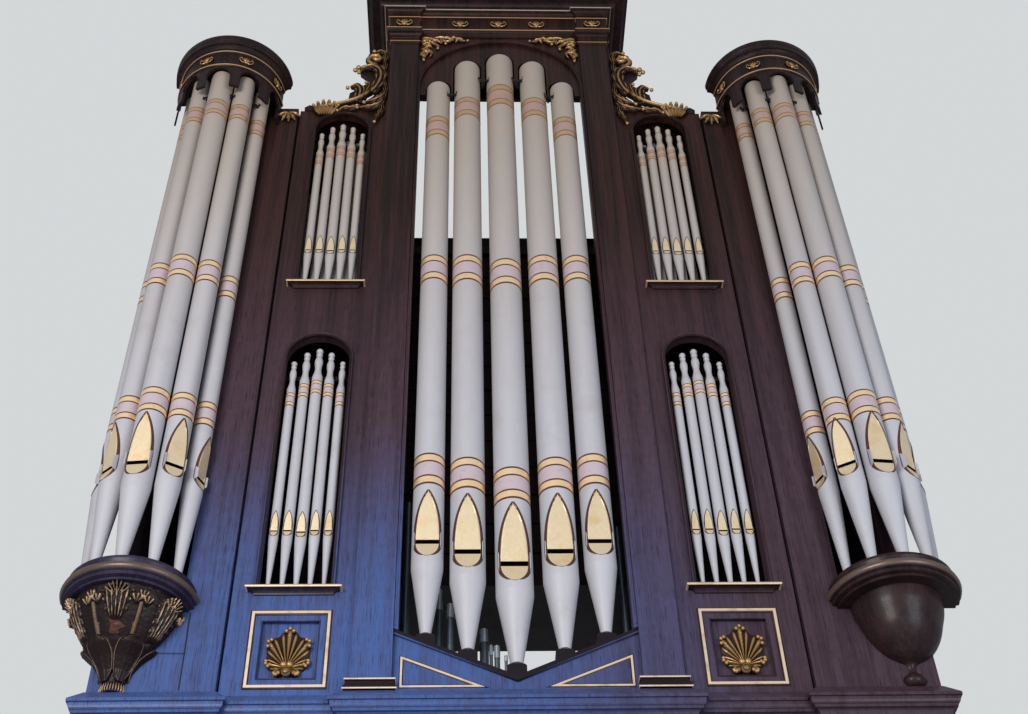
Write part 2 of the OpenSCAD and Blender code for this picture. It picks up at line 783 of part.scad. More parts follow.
module gilt_leaves() {
    color(gilt) lift() both_sides() {
        upright(-12, 0) polygon([[pil_x0 - 40, entab_z - 16], [pil_x0 - 290, entab_z - 20],
            [pil_x0 - 200, entab_z - 50], [pil_x0 - 80, entab_z - 110], [pil_x0 - 42, entab_z - 230]]);
        upright(-end_step - 12, -end_step) translate([tower_x - crown_r - 3, flat_top - 10])
            polygon([[-90, 0], [0, 0], [0, -60], [-45, -100]]);
    }
}

post = 90;
dust_t = 20;
chest_y0 = 90;
chest_y1 = 560;
chest_h = 160;
swell_y0 = 620;
swell_back = 200;
swell_y1 = back_y - swell_back;
swell_x = joint_x + 50;
swell_z0 = 1000;
swell_z1 = flat_top - 474;
stay_z = arch_z - 1450;
bearer_z = impost_z - chest_h - post;
stay_y = board_t + 90;

post_top = impost_z + flat_top - dust_t;
post_y = stay_y + 30;

// Posts that stand on the floor, and the legs of the swell box on their cross rails.
module inner_posts() {
    color(dark_wood) both_sides() {
        for (x = [side_x0, centre_half_w])
            translate([x - post, back_y - post, 0]) cube([post, post, post_top]);
        translate([centre_half_w - post, post_y, 0]) cube([post, post, post_top - post]);
        for (y = [swell_y0, swell_y1 - post])
            translate([swell_x - post, y, bearer_z + post])
                cube([post, post, swell_z0 + impost_z - bearer_z - post]);
    }
}

// Rails that run across the case: four under the chest and the swell box, the others between posts.
module cross_rails() {
    spans = [[-side_x0 + post, -centre_half_w], [post - centre_half_w, centre_half_w - post],
        [centre_half_w, side_x0 - post]];
    color(dark_wood) {
        for (y = [post_y + post, chest_y1 - post, swell_y0, swell_y1 - post])
            translate([-side_x0, y, bearer_z]) cube([2 * side_x0, post, post]);
        for (z = [plinth_h + dado_h, bearer_z, post_top - post], s = spans)
            translate([s[0], back_y - post, z]) cube([s[1] - s[0], post, post]);
    }
}

module deep_rails() {
    color(dark_wood) both_sides() for (z = [post_top - 2 * post, bearer_z - post])
        translate([centre_half_w - post, post_y + post, z])
            cube([post, back_y - post_y - 2 * post, post]);
}

// Boards over the flats and the end towers, level with the top edge of the flats.
module dust_boards() {
    color(dark_wood) both_sides() translate([0, 0, post_top]) {
        translate([centre_half_w, board_t, 0]) cube([side_x0 - centre_half_w, back_y - board_t, dust_t]);
        translate([joint_x, end_back, 0]) cube([side_x0 - joint_x, board_t - end_back + eps, dust_t]);
    }
}

// Plain boards that close the back behind the flats and the end towers.
module back_boards() {
    color(dark_wood) both_sides() translate([centre_half_w, back_y - post - dust_t, impost_z])
        cube([side_x0 - centre_half_w, dust_t, flat_top - dust_t]);
}

module wind_chest() {
    w = centre_half_w - post;
    color(dark_wood) translate([-w, chest_y0, bearer_z + post]) cube([2 * w, chest_y1 - chest_y0, chest_h]);
}

// Metal pipes on the chest: [x, diameter, height]
inner = [[-487, 42, 1150], [-335, 30, 645], [-285, 34, 565], [-135, 40, 427],
    [-105, 16, 348], [-79, 25, 343], [-40, 14, 296], [500, 30, 1000]];

module inner_pipes() {
    color(tin) for (q = inner)
        translate([q[0], 170, impost_z]) cylinder(d = q[1], h = q[2]);
}

// Heights of the second row of pipes behind the upper flats, from the centre outwards.
rear_h = [1340, 1400, 1419, 805, 899, 898];
rear_d = 46;
rear_pitch = 60;

module rear_flat_pipes() {
    color(paint) lift() both_sides() for (i = [0:5])
        translate([flat_x + (i - 2.5) * rear_pitch, rear_y, sill_hi + shelf_t])
            cylinder(d = rear_d, h = rear_h[i] - shelf_t);
}

louvres = 14;

module swell_box() {
    color(dark_wood) translate([-swell_x, swell_y0, impost_z + swell_z0]) difference() {
        cube([2 * swell_x, swell_y1 - swell_y0, swell_z1 - swell_z0]);
        translate([40, 40, 40]) cube([2 * swell_x - 80, swell_y1 - swell_y0 - 80, swell_z1 - swell_z0 - 80]);
        for (i = [1:louvres - 1]) translate([-eps + 60, -eps, i * (swell_z1 - swell_z0) / louvres])
            cube([2 * swell_x - 120 + 2 * eps, 12, 14]);
    }
}

module pipe_stays() {
    color(dark_wood) lift() {
        translate([-centre_half_w, stay_y, stay_z]) cube([2 * centre_half_w, 30, 60]);
        for (i = [0:4]) translate([pipe_x[i] - 10, pipe_y + pipe_d[i] / 2 - 4, stay_z + 20])
            cube([20, stay_y - pipe_y - pipe_d[i] / 2 + 4, 20]);
        both_sides() for (z = [arch_lo - 100, arch_hi - 100]) {
            translate([flat_x - flat_r - 30, board_t + 20, z]) cube([2 * flat_r + 60, 20, 30]);
            for (s = [-1, 1]) translate([flat_x + s * (flat_r + 20) - 10, board_t, z]) cube([20, 20, 30]);
        }
    }
}

plinth();
lower_front();
lower_panels();
impost();
side_left();
side_right();
end_front_left();
end_front_right();
flat_front_left();
flat_front_right();
flat_sills();
flat_arches();
panel_boards();
panel_mouldings();
carved_shells();
pilaster_left();
pilaster_right();
vee_sill();
arch_front();
arch_moulding();
pipe_shade();
entablature();
cornice();
centre_sides();
centre_pipe_1();
centre_pipe_2();
centre_pipe_3();
centre_pipe_4();
centre_pipe_5();
flat_pipes_lower_left();
flat_pipes_lower_right();
flat_pipes_upper_left();
flat_pipes_upper_right();
tower_pipes_left();
tower_pipes_right();
tower_crown_left();
tower_crown_right();
tower_shades();
corbel_left();
corbel_right();
scroll_brackets();
gilt_leaves();
inner_posts();
cross_rails();
deep_rails();
wind_chest();
inner_pipes();
rear_flat_pipes();
swell_box();
pipe_stays();
dust_boards();
back_boards();
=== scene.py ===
# Pipe organ in its case. Metres: X to the right, Y into the case, Z up from the floor.
import math

import bmesh
import bpy
from mathutils import Matrix, Vector
from mathutils.noise import noise


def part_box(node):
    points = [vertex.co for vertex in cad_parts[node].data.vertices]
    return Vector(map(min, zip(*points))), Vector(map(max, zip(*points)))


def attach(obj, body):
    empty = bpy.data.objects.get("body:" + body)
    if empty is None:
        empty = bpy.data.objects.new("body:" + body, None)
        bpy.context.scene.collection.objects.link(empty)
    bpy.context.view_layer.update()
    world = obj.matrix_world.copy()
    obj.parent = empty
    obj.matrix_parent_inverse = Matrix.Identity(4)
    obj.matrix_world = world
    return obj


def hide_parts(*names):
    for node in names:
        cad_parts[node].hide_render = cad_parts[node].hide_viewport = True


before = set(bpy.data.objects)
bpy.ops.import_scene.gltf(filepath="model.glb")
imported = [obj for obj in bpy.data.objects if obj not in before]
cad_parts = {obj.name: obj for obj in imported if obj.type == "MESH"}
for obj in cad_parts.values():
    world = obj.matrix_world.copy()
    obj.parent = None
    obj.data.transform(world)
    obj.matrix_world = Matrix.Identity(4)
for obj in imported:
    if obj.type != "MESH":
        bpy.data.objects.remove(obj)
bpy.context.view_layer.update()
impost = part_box("impost")[1].z      # top of the impost moulding; the upper case stands on it
out = Vector((0, -1, 0))            # straight out of the case front
towerX = 1.672                      # middle of each end tower, from the centre line
flats = {"x": 0.970, "sills": (0.531, 2.533), "arches": (1.972, 3.942), "half": 0.160, "shelf": 0.012}
print("frame loaded,", len(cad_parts), "nodes")


# Objects, evenly spaced values and nodes

def addObject(name, data):
    obj = bpy.data.objects.new(name, data)
    bpy.context.scene.collection.objects.link(obj)
    return obj


def plainMesh(name, verts, edges=(), faces=()):
    mesh = bpy.data.meshes.new(name)
    mesh.from_pydata([tuple(v) for v in verts], list(edges), list(faces))
    return mesh


def spread(first, last, steps):
    return [first + (last - first) * k / steps for k in range(steps + 1)]


def feed(made, sources):
    # sets a node's inputs to plain values or links them to sockets
    for name, source in dict(sources).items():
        if hasattr(source, "node"):
            made.id_data.links.new(source, made.inputs[name])
        else:
            made.inputs[name].default_value = source


def node(tree, kind, sources=(), **values):
    made = tree.nodes.new(kind)
    for key, value in values.items():
        setattr(made, key, value)
    feed(made, sources)
    return made


# Shader nodes; each works in the tree of the socket it is given

def calc(operation, *values, clamp=False):
    tree = next(v.id_data for v in values if hasattr(v, "node"))
    return node(tree, "ShaderNodeMath", enumerate(values), operation=operation, use_clamp=clamp).outputs[0]


def times(a, b, clamp=False):
    return calc("MULTIPLY", a, b, clamp=clamp)


def noiseNode(vector, scale, detail, rough):
    return node(vector.id_data, "ShaderNodeTexNoise", {
        "Vector": vector, "Scale": scale, "Detail": detail, "Roughness": rough}).outputs["Fac"]


def mixColour(share, a, b):
    made = node(share.id_data, "ShaderNodeMix", {"Factor": share}, data_type="RGBA")
    for socket, value in zip([s for s in made.inputs if s.type == "RGBA"], (a, b)):
        if isinstance(value, tuple):
            socket.default_value = (*value, 1)
        else:
            made.id_data.links.new(value, socket)
    return next(s for s in made.outputs if s.type == "RGBA")


def rampNode(value, low, high):
    return node(value.id_data, "ShaderNodeMapRange", {"From Min": low, "From Max": high, "Value": value},
                interpolation_type="SMOOTHSTEP").outputs["Result"]


def axes(vector):
    return node(vector.id_data, "ShaderNodeSeparateXYZ", {0: vector}).outputs


def climb(where, low, high):
    # goes from 0 to 1 between two heights over the impost
    return rampNode(axes(where)["Z"], impost + low, impost + high)


def stepRamp(value, stops):
    # plain steps of colour along a value
    made = node(value.id_data, "ShaderNodeValToRGB", {"Fac": value})
    made.color_ramp.interpolation = "CONSTANT"
    steps = made.color_ramp.elements
    for i, (place, colour) in enumerate(stops):
        stop = steps[i] if i < 2 else steps.new(place)
        stop.position = place
        stop.color = (*colour, 1)
    return made.outputs["Color"]


def newGroup(name, inputs, outputs):
    tree = bpy.data.node_groups.new(name, "ShaderNodeTree")
    tree.interface.new_socket("Vector", in_out="INPUT", socket_type="NodeSocketVector")
    for label, value in inputs.items():
        tree.interface.new_socket(label, in_out="INPUT", socket_type="NodeSocketFloat").default_value = value
    for label in outputs:
        tree.interface.new_socket(label, in_out="OUTPUT", socket_type="NodeSocketFloat")
    return tree, tree.nodes.new("NodeGroupInput").outputs


# share of the grain's scale, detail and roughness of each noise; what it is mixed, cut and raised by
grainForm = {"figure": (0.22, 6, 0.6), "streak": (5, 0.65), "pore": (5.5, 2, 0.5), "mix": (0.55, 0.45),
             "poreCut": (0.56, 0.68), "streakCut": (0.38, 0.62), "raise": (0.6, 0.5)}
patchForm = {"broad": (8, 0.62), "fine": (14.0, 4, 0.6), "low": 0.75, "share": 0.4, "gain": 6.0}


def scaledNoise(vector, scale, share, detail, rough):
    return noiseNode(vector, times(scale, share), detail, rough)


def buildGrain():
    tree, given = newGroup("woodGrain", {"Scale": 60.0, "Stretch": 0.03}, ("Streak", "Pore", "Height"))
    squeeze = node(tree, "ShaderNodeCombineXYZ", {0: 1, 1: 1, 2: given["Stretch"]})
    grain = node(tree, "ShaderNodeVectorMath", {0: given["Vector"], 1: squeeze.outputs[0]},
                 operation="MULTIPLY").outputs[0]
    figure = scaledNoise(grain, given["Scale"], *grainForm["figure"])
    streak = noiseNode(grain, given["Scale"], *grainForm["streak"])
    pore = rampNode(scaledNoise(grain, given["Scale"], *grainForm["pore"]), *grainForm["poreCut"])
    blend = calc("ADD", times(figure, grainForm["mix"][0]), times(streak, grainForm["mix"][1]))
    height = calc("SUBTRACT", times(streak, grainForm["raise"][0]), times(pore, grainForm["raise"][1]))
    node(tree, "NodeGroupOutput", {
        "Streak": rampNode(blend, *grainForm["streakCut"]), "Pore": pore, "Height": height})
    return tree


def buildPatches():
    tree, given = newGroup("patches", {"Scale": 4.0, "Amount": 0.5}, ("Mask", "Fine"))
    broad = noiseNode(given["Vector"], given["Scale"], *patchForm["broad"])
    fine = scaledNoise(given["Vector"], given["Scale"], *patchForm["fine"])
    low = calc("SUBTRACT", patchForm["low"], times(given["Amount"], patchForm["share"]))
    mask = times(calc("SUBTRACT", broad, low), patchForm["gain"], clamp=True)
    node(tree, "NodeGroupOutput", {"Mask": mask, "Fine": fine})
    return tree


grainGroup = buildGrain()
patchGroup = buildPatches()


def useGroup(group, vector, **values):
    return node(vector.id_data, "ShaderNodeGroup", {"Vector": vector, **values}, node_tree=group).outputs


def startFinish(name, rough, metallic=0.0):
    mat = bpy.data.materials.new(name)
    mat.use_nodes = True
    shader = mat.node_tree.nodes["Principled BSDF"]
    feed(shader, {"Roughness": rough, "Metallic": metallic})
    return mat, shader, node(mat.node_tree, "ShaderNodeTexCoord").outputs["Object"]


def addBump(shader, height, strength, distance):
    bump = node(shader.id_data, "ShaderNodeBump", {"Strength": strength, "Distance": distance, "Height": height})
    feed(shader, {"Normal": bump.outputs["Normal"]})


# Camera, floor and lamps

view = {
    "lens": 49.64, "sensor": 36.0, "far": 200,
    "pitch": 45.13, "yaw": 2.79, "roll": -1.94,
    "place": (-0.2195, -5.1413, -1.0857),
    "floorFront": -3.0, "floorBack": 9.0, "floorHalf": 11.0, "floorRough": 0.85, "speck": 3.0,
    "floorTones": ((0.60, 0.60, 0.59, 1), (0.68, 0.68, 0.67, 1)),
    "sky": (0.80, 0.86, 0.95, 1), "skyPower": 0.42, "backdrop": (0.66, 0.68, 0.69, 1),
}
# name, place, target, size, power and colour
lamps = (("keyLamp", (-3.2, -7.0, 2.6), (0, 0, 3.6), 3.2, 520, (1.0, 0.97, 0.93)),
         ("fillLamp", (4.5, -6.0, 1.5), (0, 0, 3.2), 3.5, 260, (0.86, 0.92, 1.0)))


def makeCamera():
    cam = addObject("camera", bpy.data.cameras.new("camera"))
    cam.data.lens = view["lens"]
    cam.data.sensor_width = view["sensor"]
    cam.data.clip_end = view["far"]
    pitch, yaw, roll = (math.radians(view[k]) for k in ("pitch", "yaw", "roll"))
    ahead = Vector((math.sin(yaw) * math.cos(pitch), math.cos(yaw) * math.cos(pitch), math.sin(pitch)))
    right = Vector((math.cos(yaw), -math.sin(yaw), 0))
    above = right.cross(ahead)
    rightNow = math.cos(roll) * right + math.sin(roll) * above
    upNow = -math.sin(roll) * right + math.cos(roll) * above
    turn = Matrix((rightNow, upNow, -ahead)).transposed()
    cam.matrix_world = Matrix.Translation(view["place"]) @ turn.to_4x4()
    bpy.context.scene.camera = cam


def addLamp(name, place, target, size, power, colour):
    lamp = addObject(name, bpy.data.lights.new(name, "AREA"))
    lamp.data.size = size
    lamp.data.energy = power
    lamp.data.color = colour
    lamp.location = place
    lamp.rotation_mode = "QUATERNION"
    lamp.rotation_quaternion = (Vector(target) - Vector(place)).to_track_quat("-Z", "Y")


def makeFloor():
    y0, y1, x = view["floorFront"], view["floorBack"], view["floorHalf"]
    corners = [(-x, y0, 0), (x, y0, 0), (x, y1, 0), (-x, y1, 0)]
    floor = addObject("floor", plainMesh("floor", corners, faces=[(0, 1, 2, 3)]))
    mat, shader, where = startFinish("paleFloor", view["floorRough"])
    speck = node(mat.node_tree, "ShaderNodeTexNoise", {"Vector": where, "Scale": view["speck"]})
    ramp = node(mat.node_tree, "ShaderNodeValToRGB", {"Fac": speck.outputs["Fac"]})
    for stop, tone in zip(ramp.color_ramp.elements, view["floorTones"]):
        stop.color = tone
    feed(shader, {"Base Color": ramp.outputs["Color"]})
    floor.data.materials.append(mat)


def makeWorld():
    # bluish light from all round, and a pale backdrop that only the camera sees
    world = bpy.data.worlds.new("pale")
    bpy.context.scene.world = world
    world.use_nodes = True
    tree = world.node_tree
    light = tree.nodes["Background"]
    feed(light, {"Color": view["sky"], "Strength": view["skyPower"]})
    behind = node(tree, "ShaderNodeBackground", {"Color": view["backdrop"]})
    path = node(tree, "ShaderNodeLightPath")
    mix = node(tree, "ShaderNodeMixShader", {
        "Fac": path.outputs["Is Camera Ray"], 1: light.outputs["Background"], 2: behind.outputs["Background"]})
    feed(tree.nodes["World Output"], {"Surface": mix.outputs["Shader"]})
    bpy.context.scene.view_settings.view_transform = "Standard"


makeCamera()
makeFloor()
makeWorld()
for lamp in lamps:
    addLamp(*lamp)
print("camera, floor and lamps")


# Finishes

mahogany = dict(dark=(0.010, 0.004, 0.003), light=(0.034, 0.012, 0.009), rough=0.38, reflectionShare=1.0)
woodLook = {
    "mahogany": mahogany,
    "darkMahogany": dict(dark=(0.008, 0.004, 0.004), light=(0.024, 0.010, 0.009), rough=0.40, reflectionShare=0.15),
    # dark beyond a line across the front: its slope, where it starts and where it is full
    "veeWood": dict(mahogany, shadow=(0.463, 0.053, 0.059)),
    "pilasterWood": dict(mahogany, shadow=(0.0, 0.053, 0.047)),
    "frameTimber": dict(dark=(0.020, 0.014, 0.010), light=(0.060, 0.042, 0.028), rough=0.8, reflectionShare=0.0, coat=0.0),
}
# painted reflections of daylight on the varnish, purplish up to mid height, bluish low down: top, bottom, strength,
# colour,
# the x where it has faded out, and whether it is on the front only
paintedReflections = ((3.6, 0.9, 0.85, (0.058, 0.035, 0.050), 9.0, False),
          (1.6, 0.10, 1.0, (0.046, 0.086, 0.240), 1.25, True))
varnish = {
    "grain": dict(Scale=55.0, Stretch=0.03), "patches": dict(Scale=1.7, Amount=0.55),
    "streaks": (0.55, 0.72), "clouds": (0.7, 0.55), "fullX": -0.5,
    "frontY": (0.036, 0.028), "lowerCase": (-0.9, -0.15), "shade": (0.010, 0.006, 0.009),
    "pores": (0.006, 0.003, 0.003), "poreShare": 0.55, "wear": 0.18, "bump": (0.35, 0.0012),
    "specular": 0.15, "coat": 0.08, "coatRough": 0.18,
}


def makeWood(name):
    look = woodLook[name]
    mat, shader, where = startFinish(name, look["rough"])
    grain = useGroup(grainGroup, where, **varnish["grain"])
    patch = useGroup(patchGroup, where, **varnish["patches"])
    place = axes(where)
    colour = mixColour(grain["Streak"], look["dark"], look["light"])
    # painted reflections of daylight, mixed into the wood's colour
    if look["reflectionShare"]:
        streaks = calc("MULTIPLY_ADD", grain["Streak"], *varnish["streaks"])
        clouds = calc("MULTIPLY_ADD", patch["Fine"], *varnish["clouds"])
        # the bluish painted reflection lies on the front only and fades out over the lower case
        front = times(rampNode(place["Y"], *varnish["frontY"]), climb(where, *varnish["lowerCase"]))
        for high, low, strength, tint, fade, frontOnly in paintedReflections:
            reflection = times(times(climb(where, high, low), clouds), strength * look["reflectionShare"], clamp=True)
            reflection = times(times(reflection, streaks), rampNode(place["X"], fade, varnish["fullX"]))
            colour = mixColour(times(reflection, front) if frontOnly else reflection, colour, tint)
    if "shadow" in look:
        slope, start, full = look["shadow"]
        level = calc("SUBTRACT", place["Z"], times(calc("ABSOLUTE", place["X"]), slope))
        colour = mixColour(rampNode(level, impost + start, impost + full), colour, varnish["shade"])
    colour = mixColour(times(grain["Pore"], varnish["poreShare"]), colour, varnish["pores"])
    rough = calc("MULTIPLY_ADD", patch["Mask"], varnish["wear"], look["rough"])
    feed(shader, {"Base Color": colour, "Roughness": rough, "Specular IOR Level": varnish["specular"],
                  "Coat Weight": look.get("coat", varnish["coat"]), "Coat Roughness": varnish["coatRough"]})
    addBump(shader, grain["Height"], *varnish["bump"])
    return mat


# how a kind of coat is patched, brushed and worn, and between which heights it darkens towards the top as painted
# shade
coats = {
    "paint": dict(scale=5.0, amount=0.5, stains=0.4, brush=0.22, wear=0.25, gloss=0.1, bump=(0.12, 0.001),
                  high=(0.9, 4.6)),
    "gold": dict(scale=9.0, amount=0.6, stains=0.6, brush=0.0, wear=0.3, gloss=0.12, bump=(0.2, 0.0008),
                 high=(0.6, 4.2)),
}
coats["oldGold"] = dict(coats["gold"], scale=12.0)
brushing = dict(Scale=38.0, Stretch=0.12)


def makeCoat(name, kind, colour, stain, rough, metallic=0.0, above=None):
    coat = coats[kind]
    mat, shader, where = startFinish(name, rough, metallic)
    # painted shade: the coat darkens towards the top
    if above:
        colour = mixColour(climb(where, *coat["high"]), colour, above)
    patch = useGroup(patchGroup, where, Scale=coat["scale"], Amount=coat["amount"])
    colour = mixColour(times(patch["Mask"], coat["stains"]), colour, stain)
    if coat["brush"]:
        brush = useGroup(grainGroup, where, **brushing)
        colour = mixColour(times(brush["Streak"], coat["brush"]), colour, stain)
    worn = calc("MULTIPLY_ADD", patch["Fine"], coat["wear"], rough - coat["gloss"])
    feed(shader, {"Base Color": colour, "Roughness": worn})
    addBump(shader, patch["Fine"], *coat["bump"])
    return mat


# gilt on the crests of a carving, dark in its hollows (partly patina, partly painted shade), bare wood where its
# relief is below nought
gilt = {"rough": 0.4, "patches": dict(Scale=30.0, Amount=0.5), "speckle": 0.5, "shift": -0.25, "crest": (0.46, 0.98),
        "bare": (-0.3, -0.7), "specular": 0.2, "bump": (0.3, 0.0012)}


def makeAntiqueGilt(name, crest, hollow, metal, bare=None):
    mat, shader, where = startFinish(name, gilt["rough"])
    relief = node(mat.node_tree, "ShaderNodeAttribute", attribute_name="relief").outputs["Fac"]
    patch = useGroup(patchGroup, where, **gilt["patches"])
    level = calc("ADD", calc("ADD", relief, times(patch["Fine"], gilt["speckle"])), gilt["shift"])
    mask = rampNode(level, *gilt["crest"])
    colour = mixColour(mask, hollow, crest)
    if bare:
        colour = mixColour(rampNode(relief, *gilt["bare"]), colour, bare)
    feed(shader, {"Base Color": colour, "Metallic": times(mask, metal), "Specular IOR Level": gilt["specular"]})
    addBump(shader, patch["Fine"], *gilt["bump"])
    return mat


bandLook = {
    "gold": (1.0, 0.72, 0.43), "pink": (0.42, 0.345, 0.375), "line": (0.075, 0.022, 0.012),
    "stops": ((0.0, "line"), (0.055, "gold"), (0.24, "line"), (0.29, "pink"),
              (0.71, "line"), (0.76, "gold"), (0.945, "line")),
    "rough": 0.30, "metal": (0.62, 0.62, 0.62), "plain": (0, 0, 0), "patches": 22.0,
    "paintedTopShade": (0.30, 0.150, 0.065), "paintedTopShadeShare": 0.62, "paintedTopShadeHigh": (2.2, 4.4),
    "worn": (0.20, 0.10, 0.05), "wornShare": 0.28, "bump": (0.15, 0.0008),
}


def makeBandPaint():
    mat, shader, where = startFinish("bandPaint", bandLook["rough"])
    height = node(mat.node_tree, "ShaderNodeAttribute", attribute_name="bandHeight").outputs["Fac"]
    patch = useGroup(patchGroup, where, Scale=bandLook["patches"], Amount=0.5)
    colour = stepRamp(height, [(place, bandLook[name]) for place, name in bandLook["stops"]])
    # painted shade: the bands darken towards the top
    colour = mixColour(times(climb(where, *bandLook["paintedTopShadeHigh"]), bandLook["paintedTopShadeShare"]), colour, bandLook["paintedTopShade"])
    colour = mixColour(times(patch["Mask"], bandLook["wornShare"]), colour, bandLook["worn"])
    metal = stepRamp(height, [(place, bandLook["metal" if name == "gold" else "plain"])
                              for place, name in bandLook["stops"]])
    feed(shader, {"Base Color": colour, "Metallic": metal})
    addBump(shader, patch["Fine"], *bandLook["bump"])
    return mat


finish = {name: makeWood(name) for name in woodLook}
finish["bands"] = makeBandPaint()
# kind, colour, stain, roughness, metal and the darker colour towards the top, which is painted shade
for name, *look in (
        ("pipePaint", "paint", (0.395, 0.392, 0.430), (0.300, 0.280, 0.275), 0.46, 0.0, (0.345, 0.280, 0.225)),
        ("spottedMetal", "paint", (0.20, 0.24, 0.28), (0.10, 0.12, 0.15), 0.38, 0.85),
        ("iron", "paint", (0.012, 0.011, 0.011), (0.030, 0.022, 0.018), 0.55, 0.6),
        ("outline", "paint", (0.060, 0.018, 0.012), (0.030, 0.010, 0.008), 0.45),
        ("slotDark", "paint", (0.0015, 0.001, 0.001), (0.003, 0.002, 0.002), 0.95),
        ("bronze", "paint", (0.120, 0.078, 0.062), (0.050, 0.028, 0.022), 0.34, 0.35),
        ("brightMetal", "paint", (0.70, 0.76, 0.82), (0.45, 0.50, 0.56), 0.30, 0.75),
        ("goldLeaf", "gold", (1.0, 0.80, 0.52), (0.90, 0.58, 0.26), 0.32, 0.75),
        ("giltLine", "oldGold", (0.62, 0.47, 0.33), (0.30, 0.18, 0.11), 0.45, 0.40, (0.38, 0.22, 0.10))):
    finish[name] = makeCoat(name, *look)
# the painted shadow in the slots gives back no reflection
feed(finish["slotDark"].node_tree.nodes["Principled BSDF"], {"Specular IOR Level": 0.0})
finish["antiqueGilt"] = makeAntiqueGilt("antiqueGilt", (0.47, 0.28, 0.115), (0.014, 0.006, 0.004), 0.72)
finish["bronzedWood"] = makeAntiqueGilt("bronzedWood", (0.44, 0.30, 0.19), (0.011, 0.005, 0.005), 0.30,
                                        bare=(0.062, 0.024, 0.018))
print("finishes:", len(finish))


# Finishes of the CAD nodes

nodeFinish = {
    "mahogany": ["plinth", "lower_front", "lower_panels", "impost", "side_left", "side_right",
                 "end_front_left", "end_front_right", "flat_front_left", "flat_front_right", "panel_boards",
                 "arch_front", "arch_moulding", "pipe_shade", "entablature", "centre_sides"],
    "darkMahogany": ["cornice", "flat_sills", "flat_arches", "tower_crown_left", "tower_crown_right",
                     "tower_shades", "corbel_left", "corbel_right", "swell_box", "dust_boards"],
    "veeWood": ["vee_sill"],
    "pilasterWood": ["pilaster_left", "pilaster_right"],
    "frameTimber": ["inner_posts", "cross_rails", "deep_rails", "wind_chest", "back_boards"],
    "giltLine": ["panel_mouldings"],
    "antiqueGilt": ["carved_shells", "scroll_brackets", "gilt_leaves"],
    "spottedMetal": ["inner_pipes"],
    "iron": ["pipe_stays"],
    "pipePaint": [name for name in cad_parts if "_pipe" in name and name != "inner_pipes"],
}
for finishName, names in nodeFinish.items():
    for nodeName in names:
        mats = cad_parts[nodeName].data.materials
        mats.clear()
        mats.append(finish[finishName])
print("CAD nodes painted")


# Mesh helpers

sharpFrom = math.radians(40)


def declare(obj, nodes=()):
    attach(obj, "root")
    if nodes:
        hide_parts(*nodes)


def pieceFromBmesh(name, bm, finishName, nodes=(), smooth=True):
    mesh = bpy.data.meshes.new(name)
    bm.to_mesh(mesh)
    bm.free()
    mesh.materials.append(finish[finishName])
    for face in mesh.polygons:
        face.use_smooth = smooth
    if smooth:
        mesh.set_sharp_from_angle(angle=sharpFrom)
    obj = addObject(name, mesh)
    declare(obj, nodes)
    return obj


def up(x, y, z):
    # a point with its height measured from the impost
    return (x, y, impost + z)


def ringPoint(x, radius, a, z):
    # a point of a half-round tower, at angle a from straight ahead
    return up(x + radius * math.sin(a), -radius * math.cos(a), z)


def both(path):
    # the path and its mirror image across the centre line
    return [path, [(-x, y, z) for x, y, z in path]]


def newRelief():
    bm = bmesh.new()
    bm.verts.layers.float.new("relief")
    return bm


def closeSkin(bm, rows, oneFaceCaps=False):
    # joins rows of (front, back) vertices into a thin closed solid
    last = len(rows[0][0]) - 1
    for (a, b), (c, d) in zip(rows, rows[1:]):
        for j in range(last):
            bm.faces.new((a[j], a[j + 1], c[j + 1], c[j]))
            bm.faces.new((b[j + 1], b[j], d[j], d[j + 1]))
        bm.faces.new((b[0], a[0], c[0], d[0]))
        bm.faces.new((a[last], b[last], d[last], c[last]))
    for (a, b), turn in ((rows[0], 1), (rows[-1], -1)):
        if oneFaceCaps:
            bm.faces.new((b + a[::-1])[::turn])
            continue
        for j in range(last):
            bm.faces.new([b[j], b[j + 1], a[j + 1], a[j]][::turn])


def smoothCurve(points, count, held=False):
    # points on a curve through the given ones; past its ends it runs straight on, unless they are held
    pts = [Vector(p) for p in points]
    before, after = (pts[0], pts[-1]) if held else (2 * pts[0] - pts[1], 2 * pts[-1] - pts[-2])
    pts = [before] + pts + [after]
    spans = len(pts) - 3
    curve = []
    for u in spread(0, spans, count - 1):
        i = min(int(u), spans - 1)
        t = u - i
        a, b, c, d = pts[i:i + 4]
        curve.append(0.5 * (2 * b + (c - a) * t + (2 * a - 5 * b + 4 * c - d) * t * t
                            + (3 * b - 3 * c + d - a) * t ** 3))
    return curve


# how a leaf swells along its spine, how its edge is scalloped, and how its dome, midrib and flutes rise
leafForm = {
    "grow": 0.92, "from": 0.08, "lessen": 0.25, "tailShare": 0.4, "thin": 0.04,
    "slant": 0.16, "phase": 0.15, "scallop": 0.7, "notch": 0.30,
    "dome": 0.94, "domeShare": 0.8, "midrib": 0.13, "midribShare": 0.35, "groove": 2.2,
    "flat": 0.45, "full": 1.3, "backShare": 0.96, "ribLift": (0.575, 0.425),
}


